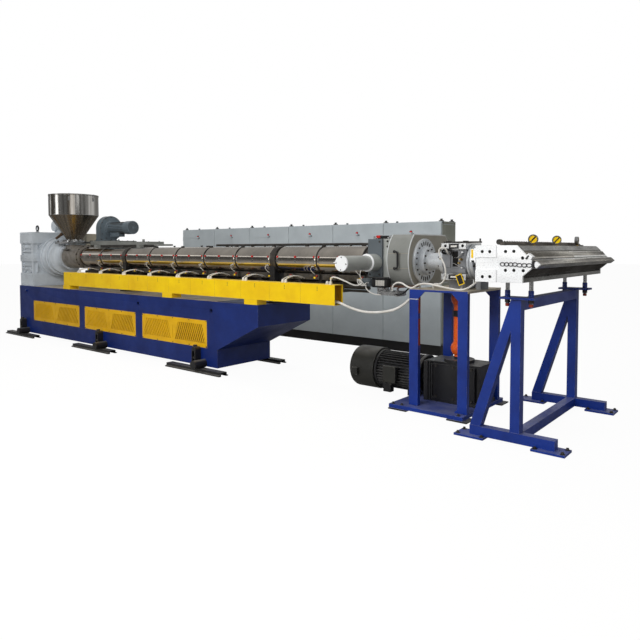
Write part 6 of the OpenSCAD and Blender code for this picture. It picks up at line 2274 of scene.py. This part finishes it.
    def gauges(self) -> tuple[Shape, Shape, Shape, Shape]:
        """Round gauges: bezel, yellow dial, black pointer and stem; two face the near side, one
        downstream."""
        bezel, dial, hand, stem = [], [], [], []
        case = lathe(ORIGIN, Axis.Y, [(0.018, 0.03), (0.018, 0.037), (0.014, 0.04), (-0.012, 0.04),
                                      (-0.016, 0.038), (-0.016, 0.031), (-0.011, 0.03),
                                      (-0.011, 0.02), (0.01, 0.02)], 40, ring=True)
        face = lathe(ORIGIN, Axis.Y, [(-0.006, 0.031), (-0.0125, 0.031)], 40)
        bar = block((-0.029, -0.0145, -0.005), (0.029, -0.012, 0.005)).turned(Axis.Y, -48)
        for y, turn in zip(self.gauge_ys, (14, 20, 98)):
            c = (9.54, y, self.top + 0.052)
            for target, shape in ((bezel, case), (dial, face), (hand, bar)):
                target.append(shape.turned(Axis.Z, turn).moved(c))
            stem.append(lathe((9.545, y, self.top), Axis.Z, [(0, 0.013), (0.008, 0.013),
                                                             (0.009, 0.008), (0.018, 0.008)], 6))
        return joined(bezel), joined(dial), joined(hand), joined(stem)

    def supports(self) -> tuple[Shape, Shape, Shape, Shape]:
        """Support screws: studs, blue nuts above the plates, steel nuts and red-brown ends below
        them."""
        at = np.array([(x, y, 0) for x in self.screw_xs for y in (-SUPPORT_Y, SUPPORT_Y)])
        thread = [(0.006 * i + d, r) for i in range(20) for d, r in ((0, 0.0165), (0.003, 0.0148))]
        low_thread = lathe((0, 0, 1.114), Axis.Z, thread, 16)
        stud = lathe((0, 0, 1.192), Axis.Z, [(0, 0.0165), (0.128, 0.0165), (0.1305, 0.014)], 24)
        nut = [(0, 0.021), (0.002, 0.023), (0.024, 0.023), (0.026, 0.021)]
        top_nut = joined([lathe((0, 0, 1.1923), Axis.Z, nut, 6), lathe((0, 0, 1.2185), Axis.Z, nut,
                                                                       6)])
        low_nut = lathe((0, 0, 1.1437), Axis.Z, nut, 6)
        end = lathe((0, 0, 1.1142), Axis.Z, [(0, 0.016), (0.018, 0.018), (0.022, 0.018)], 16)
        return (joined([stud, low_thread]).repeated(at), top_nut.repeated(at), low_nut.repeated(at),
                end.repeated(at))

    def leads(self) -> Shape:
        """Thin white leads that hang between the pump and the die's near end."""
        made = []
        for k in range(2):
            d = 0.02 * k
            path = [(9.3 + d, -0.9, 1.32), (9.24 + d, -0.82, 1.25 - d), (9.15, -0.7, 1.21),
                    (9.02 - d, -0.55, 1.2), (8.9 - d, -0.4, 1.215), (8.8, -0.3, 1.25)]
            made.append(tube(smooth_path(path, 6), 0.007, 7))
        return joined(made)

    def build(self, f: Finishes) -> list[bpy.types.Object]:
        """Makes all pieces of the die."""
        steel, dark = Piece("machined_steel"), Piece("dark_steel")
        yellow, black, white = self.marks()
        far_highlit, dull, joint = self.lips()
        clamp, flat, far = self.slope()
        shanks, heads = self.lip_bolts()
        bezel, dial, hand, stem = self.gauges()
        stud, top_nut, low_nut, end = self.supports()
        return [
            from_node("die_upper", f.die_top, "machined_steel"),
            from_node("die_lower", f.die_low, "machined_steel"),
            # The end plates and the angle plate beside them carry painted glare: a near-white,
            # mostly diffuse finish.
            from_node("die_ends", f.mirror, "machined_steel", bevel=0.002),
            to_object("end_holes", self.holes(), f.recess_shade, dark),
            to_object("end_links", self.chain(), f.black, dark),
            to_object("end_blocks", self.raised(), f.mirror, steel, 0.001),
            to_object("strip_yellow", yellow, f.yellow, steel),
            to_object("end_clips", black, f.black, dark),
            to_object("lip_blocks", white, f.enamel, steel, 0.001),
            # Lip strips: painted highlight on the far part.
            to_object("lip_strips", far_highlit, f.lip, steel),
            to_object("lip_strips_near", dull, f.die_low, steel),
            to_object("lip_joint", joint, f.recess_shade, dark),
            to_object("clamp_bar", clamp, f.die_low, steel, 0.001),
            # The flat bar's far half carries a painted highlight in near-white steel.
            to_object("flat_bar", flat, f.die_top, steel, 0.001),
            to_object("flat_bar_far_highlit", far, f.lip, steel, 0.001),
            to_object("slope_ribs", self.ribs(), f.dark, dark),
            to_object("lip_bolts", shanks, f.dark, Piece("dark_steel", ("die_bolts",))),
            to_object("lip_bolt_heads", heads, f.flange_dark, dark),
            to_object("gauge_bezels", bezel, f.steel, Piece("machined_steel", ("die_gauges",))),
            to_object("gauge_dials", dial, f.yellow, steel),
            to_object("gauge_hands", hand, f.black, dark),
            to_object("gauge_stems", stem, f.brass, steel),
            to_object("support_studs", stud, f.steel, Piece("machined_steel", ("die_supports",))),
            to_object("support_nuts", top_nut, f.blue, Piece("base_blue")),
            to_object("support_lock_nuts", low_nut, f.dark, dark),
            to_object("support_ends", end, f.red_dull, dark),
        ]


# ---------------------------------------------------------------- stands and the pump's drive

@dataclass
class Stands:
    """A-frames of the die, and the pump's stand with its floor plate, bolts and tie."""

    foot_xs: tuple[float, ...] = (9.03, 9.24, 9.68, 9.89)
    foot_ys: tuple[float, ...] = (-0.795, -0.67, 0.67, 0.795)
    foot_z: float = 0.018
    plate_xs: tuple[float, ...] = (8.16, 8.26, 8.86)
    plate_y: float = 0.44
    plate_z: float = 0.048
    tie_z: float = 1.087

    def bolts(self) -> Shape:
        """Bolts with washers on the foot plates."""
        feet = [(x, y, self.foot_z) for x in self.foot_xs for y in self.foot_ys]
        pads = [(x, y, self.plate_z) for x in self.plate_xs for y in (-self.plate_y, self.plate_y)]
        one = joined([lathe(ORIGIN, Axis.Z, [(0, 0.02), (0.003, 0.02)], 20),
                      hex_bolt(0.024, 0.018)])
        return one.repeated(np.array(feet + pads))

    def welds(self) -> Shape:
        """Weld seams where the posts meet beams and plates: beads of a wavy bar."""
        made = []
        for y in (-SUPPORT_Y, SUPPORT_Y):
            for a, b in (((9.469, 0.1), (9.549, 0.1)), ((9.469, 1.172), (9.549, 1.172)),
                         ((9.13, 0.1), (9.216, 0.1))):
                for s in (-0.041, 0.041):
                    u = np.linspace(0, 1, 17)
                    wave = 0.0012 * np.sin(u * 40)
                    path = np.stack([a[0] + (b[0] - a[0]) * u, np.full_like(u, y + s), a[1] + wave],
                                    1)
                    made.append(tube(path, 0.007, 6))
        return joined(made)

    def tie(self) -> Shape:
        """White band around the stand's near left leg."""
        z = self.tie_z
        return blocks(((8.295, -0.379, z), (8.401, -0.3755, z + 0.005)),
                      ((8.295, -0.379, z), (8.2975, -0.32, z + 0.005)), ((8.385, -0.386, z - 0.002),
                                                                         (8.392, -0.376,
                                                                          z + 0.008)))

    def strips(self) -> Shape:
        """Two red strips down the side of the near left leg."""
        return joined([block((8.3975, -0.37, a), (8.4, -0.334, b)) for a,
                       b in ((0.952, 1.11), (0.64, 0.9))])

    def pads(self) -> Shape:
        """Black pads under the floor plate's corners."""
        return joined([block((x - 0.001, s * 0.4015 - 0.0855, 0.0002),
                             (x + 0.201, s * 0.4015 + 0.0855, 0.0122)) for x in (8.13, 8.76)
                       for s in (-1, 1)])

    def table(self) -> Shape:
        """Thin bare sheet on the stand's top, and a folded edge at its right end."""
        return blocks(((8.2985, -0.375, 1.1838), (8.9115, 0.375, 1.1852)), ((8.9, -0.375, 1.165),
                                                                            (8.913, 0.375, 1.186)))

    def build(self, f: Finishes) -> list[bpy.types.Object]:
        """Makes all pieces of the stands."""
        return [
            from_node("die_stand_frames", f.blue, "base_blue", bevel=0.004),
            from_node("pump_stand", f.blue, "base_blue", bevel=0.004),
            from_node("pump_base", f.blue, "base_blue", bevel=0.002),
            to_object("foot_bolts", self.bolts(), f.dark, Piece("dark_steel")),
            to_object("weld_seams", self.welds(), f.blue, Piece("base_blue")),
            to_object("leg_tie", self.tie(), f.white, Piece("cable_white")),
            to_object("leg_strips", self.strips(), f.red_dull, Piece("base_blue")),
            to_object("base_pads", self.pads(), f.black, Piece("black_paint"), 0.001),
            to_object("table_sheet", self.table(), f.deck, Piece("machined_steel")),
        ]


@dataclass
class PumpDrive:
    """Motor with a slotted cowl, gearbox and cardan shaft of the melt pump."""

    y: float = 0.07
    z: float = 0.266
    cowl_x: float = 7.395
    shaft: tuple[float, float] = (8.62, 0.06)
    shaft_z: tuple[float, float] = (0.5003, 1.1637)

    def cowl(self) -> Shape:
        """The cowl: a drum with a rounded left edge and the air grille's rings and spokes."""
        at = (self.cowl_x, self.y, self.z)
        made = [lathe(at, Axis.X, [(0.006, 0.05), (0.006, 0.2), (0.01, 0.212), (0.03, 0.223),
                                   (0.05, 0.226), (0.315, 0.226), (0.32, 0.224), (0.32, 0.19)], 96)]
        made += [lathe(at, Axis.X, [(0.006, r), (0.001, r), (0.001, r + 0.006), (0.006, r + 0.006)],
                       48, ring=True) for r in (0.04, 0.07, 0.1, 0.13, 0.16, 0.185)]
        spoke = block((self.cowl_x + 0.001, -0.003, 0.03), (self.cowl_x + 0.006, 0.003, 0.195))
        made += [spoke.turned(Axis.X, 45 * i).moved((0, self.y, self.z)) for i in range(8)]
        return joined(made)

    def body(self) -> Shape:
        """Finned body, end shields and feet."""
        a, z = self.cowl_x, self.z
        made = [lathe((a, self.y, z), Axis.X, [(0.3, 0.168), (0.836, 0.168), (0.836, 0.2),
                                               (0.848, 0.206), (0.876, 0.206), (0.882, 0.2),
                                               (0.882, 0.14), (0.915, 0.14)], 96),
                lathe((a, self.y, z), Axis.X, [(0.32, 0.2), (0.322, 0.206), (0.348, 0.206),
                                               (0.35, 0.2)], 96)]
        fin = block((a + 0.34, -0.003, 0.16), (a + 0.826, 0.003, 0.2))
        made += [fin.turned(Axis.X, v).moved((0, self.y, z)) for v in np.arange(-156, 157, 9)]
        made += [block((a + x, self.y + y - 0.035, 0.052), (a + x + 0.09, self.y + y + 0.035,
                                                            z - 0.12)) for x in (0.42, 0.72)
                 for y in (-0.13, 0.13)]
        return joined(made)

    def case_box(self) -> Shape:
        """The terminal box with its lid and a neck to the motor, and a small box on the cowl."""
        return blocks(((7.872, -0.196, 0.18), (8.024, -0.17, 0.352)), ((7.882, -0.172, 0.19),
                                                                       (8.014, -0.12, 0.342)),
                      ((7.9, -0.13, 0.2), (8.0, -0.06, 0.33)), ((7.46, -0.19, 0.205),
                                                                (7.535, -0.14, 0.285)))

    def trim(self) -> Shape:
        """Screws of the terminal box, end shield bolts, cable gland and gearbox bolts."""
        ring = on_circle((8.262, self.y, self.z), Axis.X, 0.19, 8, 22.5)
        lid = [(x, -0.196, z) for x in (7.884, 8.012) for z in (0.192, 0.34)]
        gland = lathe((7.948, -0.15, 0.182), Axis.Z, [(0, 0.02), (-0.014, 0.02), (-0.02, 0.014),
                                                      (-0.034, 0.014)], 12)
        case = [(x, -0.108, z) for x in (8.45, 8.64, 8.83) for z in (0.1, 0.41)]
        return joined([hex_bolt(0.026, 0.014, Axis.X, -1).repeated(ring - np.array([0.02, 0, 0])),
                       gland, hex_bolt(0.014, 0.004, Axis.Y, -1).repeated(np.array(lid)),
                       hex_bolt(0.024, 0.012, Axis.Y, -1).repeated(np.array(case))])

    def case_ribs(self) -> Shape:
        """Cover plate and end frame on the gearbox's near side."""
        return blocks(((8.42, -0.108, 0.08), (8.86, -0.0985, 0.43)), ((8.315, -0.115, 0.05),
                                                                      (8.36, -0.0985, 0.445)),
                      ((8.37, -0.11, 0.05), (8.385, -0.0985, 0.445)),
                      ((8.7, -0.114, 0.3), (8.74, -0.107, 0.34)))

    def collar(self) -> tuple[Shape, Shape, Shape]:
        """Cardan shaft's flange bolts, the black sleeve with its clamp rings, and the joints' round
        yokes."""
        x, y = self.shaft
        bolts = [hex_bolt(0.02, 0.014, Axis.Z, s).repeated(on_circle((x, y, z), Axis.Z, 0.042, 6,
                                                                     0)) for z,
                 s in ((0.516, 1), (1.148, -1))]
        sleeve = lathe((x, y, 0.9), Axis.Z, [(0, 0.061), (0.004, 0.064), (0.02, 0.064),
                                             (0.024, 0.061), (0.04, 0.061), (0.044, 0.064),
                                             (0.06, 0.064), (0.064, 0.061)], 32)
        half = [(0.016, 0.03), (0.02, 0.058), (0.05, 0.08), (0.085, 0.087), (0.115, 0.08),
                (0.135, 0.066), (0.15, 0.059)]
        low, top = self.shaft_z
        yokes = joined([lathe((x, y, low), Axis.Z, half, 32), lathe((x, y, top), Axis.Z,
                                                                    [(-a, r) for a, r in half], 32),
                        lathe((x, y, low), Axis.Z, [(0.15, 0.059), (0.514, 0.059)], 32)])
        pins = [rod((x - 0.09, y, z), Axis.X, 0.03, 0.18, 16) for z in (low + 0.085, top - 0.085)]
        pins += [rod((x, y - 0.09, z), Axis.Y, 0.03, 0.18, 16) for z in (low + 0.085, top - 0.085)]
        return joined(bolts), sleeve, joined([yokes, *pins])

    def build(self, f: Finishes) -> list[bpy.types.Object]:
        """Makes all pieces of the pump's drive."""
        black, cardan = Piece("black_paint"), Piece("dark_steel", body="cardan")
        bolts, sleeve, yokes = self.collar()
        return [
            to_object("motor_cowl", self.cowl(), f.motor, Piece("black_paint", ("pump_motor",))),
            to_object("motor_body", self.body(), f.black, black, 0.001),
            to_object("terminal_case", self.case_box(), f.motor, black, 0.003),
            from_node("pump_gearbox", f.black, "black_paint", bevel=0.005),
            from_node("cardan_shaft", f.orange, "cardan_orange", body="cardan", bevel=0.003),
            to_object("drive_bolts", self.trim(), f.dark, black),
            to_object("case_stiffeners", self.case_ribs(), f.black, black, 0.002),
            to_object("cardan_bolts", bolts, f.dark, cardan),
            to_object("cardan_sleeve", sleeve, f.rubber, cardan),
            to_object("cardan_yokes", yokes, f.orange, Piece("cardan_orange", body="cardan")),
        ]


# ---------------------------------------------------------------- cabinets

@dataclass
class Cabinets:
    """Row of six control cabinets: doors with a lamp, a key and a swing handle, on a dark
    plinth."""

    x0: float = 1.199
    front: float = 2.351
    pitch: float = 1.0
    doors: int = 6
    z: tuple[float, float] = (0.156, 1.972)
    lamp_z: float = 1.83
    roof_z: float = 1.978
    lug_ys: tuple[float, float] = (2.43, 2.756)

    def lamp(self, x: float) -> tuple[Shape, Shape, Shape]:
        """The lamp's lens, its ring with the key switch, and the handle of one door.

        Args:
            x: the door's left edge.
        """
        y = self.front
        c = x + 0.5 * self.pitch - 0.004
        lens = lathe((c, y - 0.004, self.lamp_z), Axis.Y, [(0, 0.02), (-0.006, 0.019),
                                                           (-0.012, 0.014), (-0.014, 0.005)], 24)
        ring = [lathe((c, y, self.lamp_z), Axis.Y, [(0, 0.026), (-0.004, 0.025), (-0.005, 0.02)],
                      24), rod((c + 0.04, y - 0.006, self.lamp_z - 0.03), Axis.Y, 0.022, 0.006, 16)]
        edge = x + self.pitch - 0.05
        handle = [block((edge - 0.012, y - 0.006, 1.055), (edge + 0.012, y, 1.18)),
                  block((edge - 0.007, y - 0.012, 1.075), (edge + 0.007, y - 0.005, 1.17)),
                  rod((edge, y - 0.012, 1.068), Axis.Y, 0.012, 0.012, 12)]
        return lens, joined(ring), joined(handle)

    def lugs(self) -> Shape:
        """Dark caps over the roof's lifting lugs."""
        made = []
        for i in range(self.doors + 1):
            x = min(max(self.x0 + i * self.pitch, self.x0 + 0.04),
                    self.x0 + self.doors * self.pitch - 0.04)
            for y in self.lug_ys:
                made.append(lathe((x, y, self.roof_z), Axis.Z, [(0, 0.0195), (0.006, 0.0185),
                                                                (0.034, 0.0185), (0.0425, 0.012)],
                                  16))
                made.append(block((x - 0.035, y - 0.016, self.roof_z), (x + 0.035, y + 0.016,
                                                                        self.roof_z + 0.0155)))
        return joined(made)

    def side(self) -> tuple[Shape, Shape]:
        """Panel of the right end wall in its frame, and the frame's posts."""
        x = self.x0 + self.doors * self.pitch
        y0, y1 = self.front + 0.03, self.front + 0.44
        low, top = self.z
        panel = block((x - 0.001, y0 + 0.035, 0.2), (x + 0.0015, y1 - 0.03, 1.93))
        frame_bars = ((y0, y0 + 0.03, low, top), (y1 - 0.025, y1, low, top), (y0, y1, top - 0.032,
                                                                              top),
                      (y0, y1, low, low + 0.034))
        posts = joined([block((x - 0.001, a, c), (x + 0.003, b, d)) for a, b, c, d in frame_bars])
        return panel, posts

    def build(self, f: Finishes) -> list[bpy.types.Object]:
        """Makes all pieces of the cabinets."""
        grey = Piece("cabinet_grey")
        panel, posts = self.side()
        made = [
            from_node("cabinet_roof", f.cabinet, "cabinet_grey"),
            from_node("cabinet_back", f.cabinet, "cabinet_grey"),
            from_node("cabinet_uprights", f.cabinet, "cabinet_grey"),
            from_node("cabinet_floor", f.black, "black_paint"),
            to_object("roof_lugs", self.lugs(), f.dark, grey),
            # The right end wall's panel and posts are drawn in painted shade.
            to_object("end_panel", panel, f.shaded_cabinet, grey),
            to_object("end_posts", posts, f.shaded_cabinet, grey, 0.001),
        ]
        for i in range(1, self.doors + 1):
            body = f"door_{i}"
            lens, ring, handle = self.lamp(self.x0 + (i - 1) * self.pitch)
            made += [
                from_node(f"cabinet_door_{i}", f.cabinet, "cabinet_grey", body=body, bevel=0.002),
                to_object(f"lamp_lens_{i}", lens, f.red, Piece("cabinet_grey", body=body)),
                to_object(f"lamp_ring_{i}", ring, f.dark, Piece("dark_steel", body=body)),
                to_object(f"door_handle_{i}", handle, f.black, Piece("black_paint", body=body),
                          0.002),
            ]
        return made


SUBASSEMBLIES = (Barrel, Hopper, Drive, Blower, Base, Tray, ScreenChanger, Guard, Flanges, MeltPump,
                 Die, Stands, PumpDrive, Cabinets)


# ---------------------------------------------------------------- all together

def main() -> None:
    """Builds the studio and every sub-assembly in order."""
    logging.basicConfig(level=logging.INFO, format="%(message)s")
    Studio().build()
    f = Finishes()
    for cord in CORDS:
        log.info("cord %s", cord.build(f.white).name)
    for part in SUBASSEMBLIES:
        made = part().build(f)
        log.info("%s: %d pieces", part.__name__, len(made))
    log.info("nodes left showing: %s", sorted(n for n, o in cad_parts.items()
                                              if not o.hide_render))


if __name__ == "__main__":
    main()
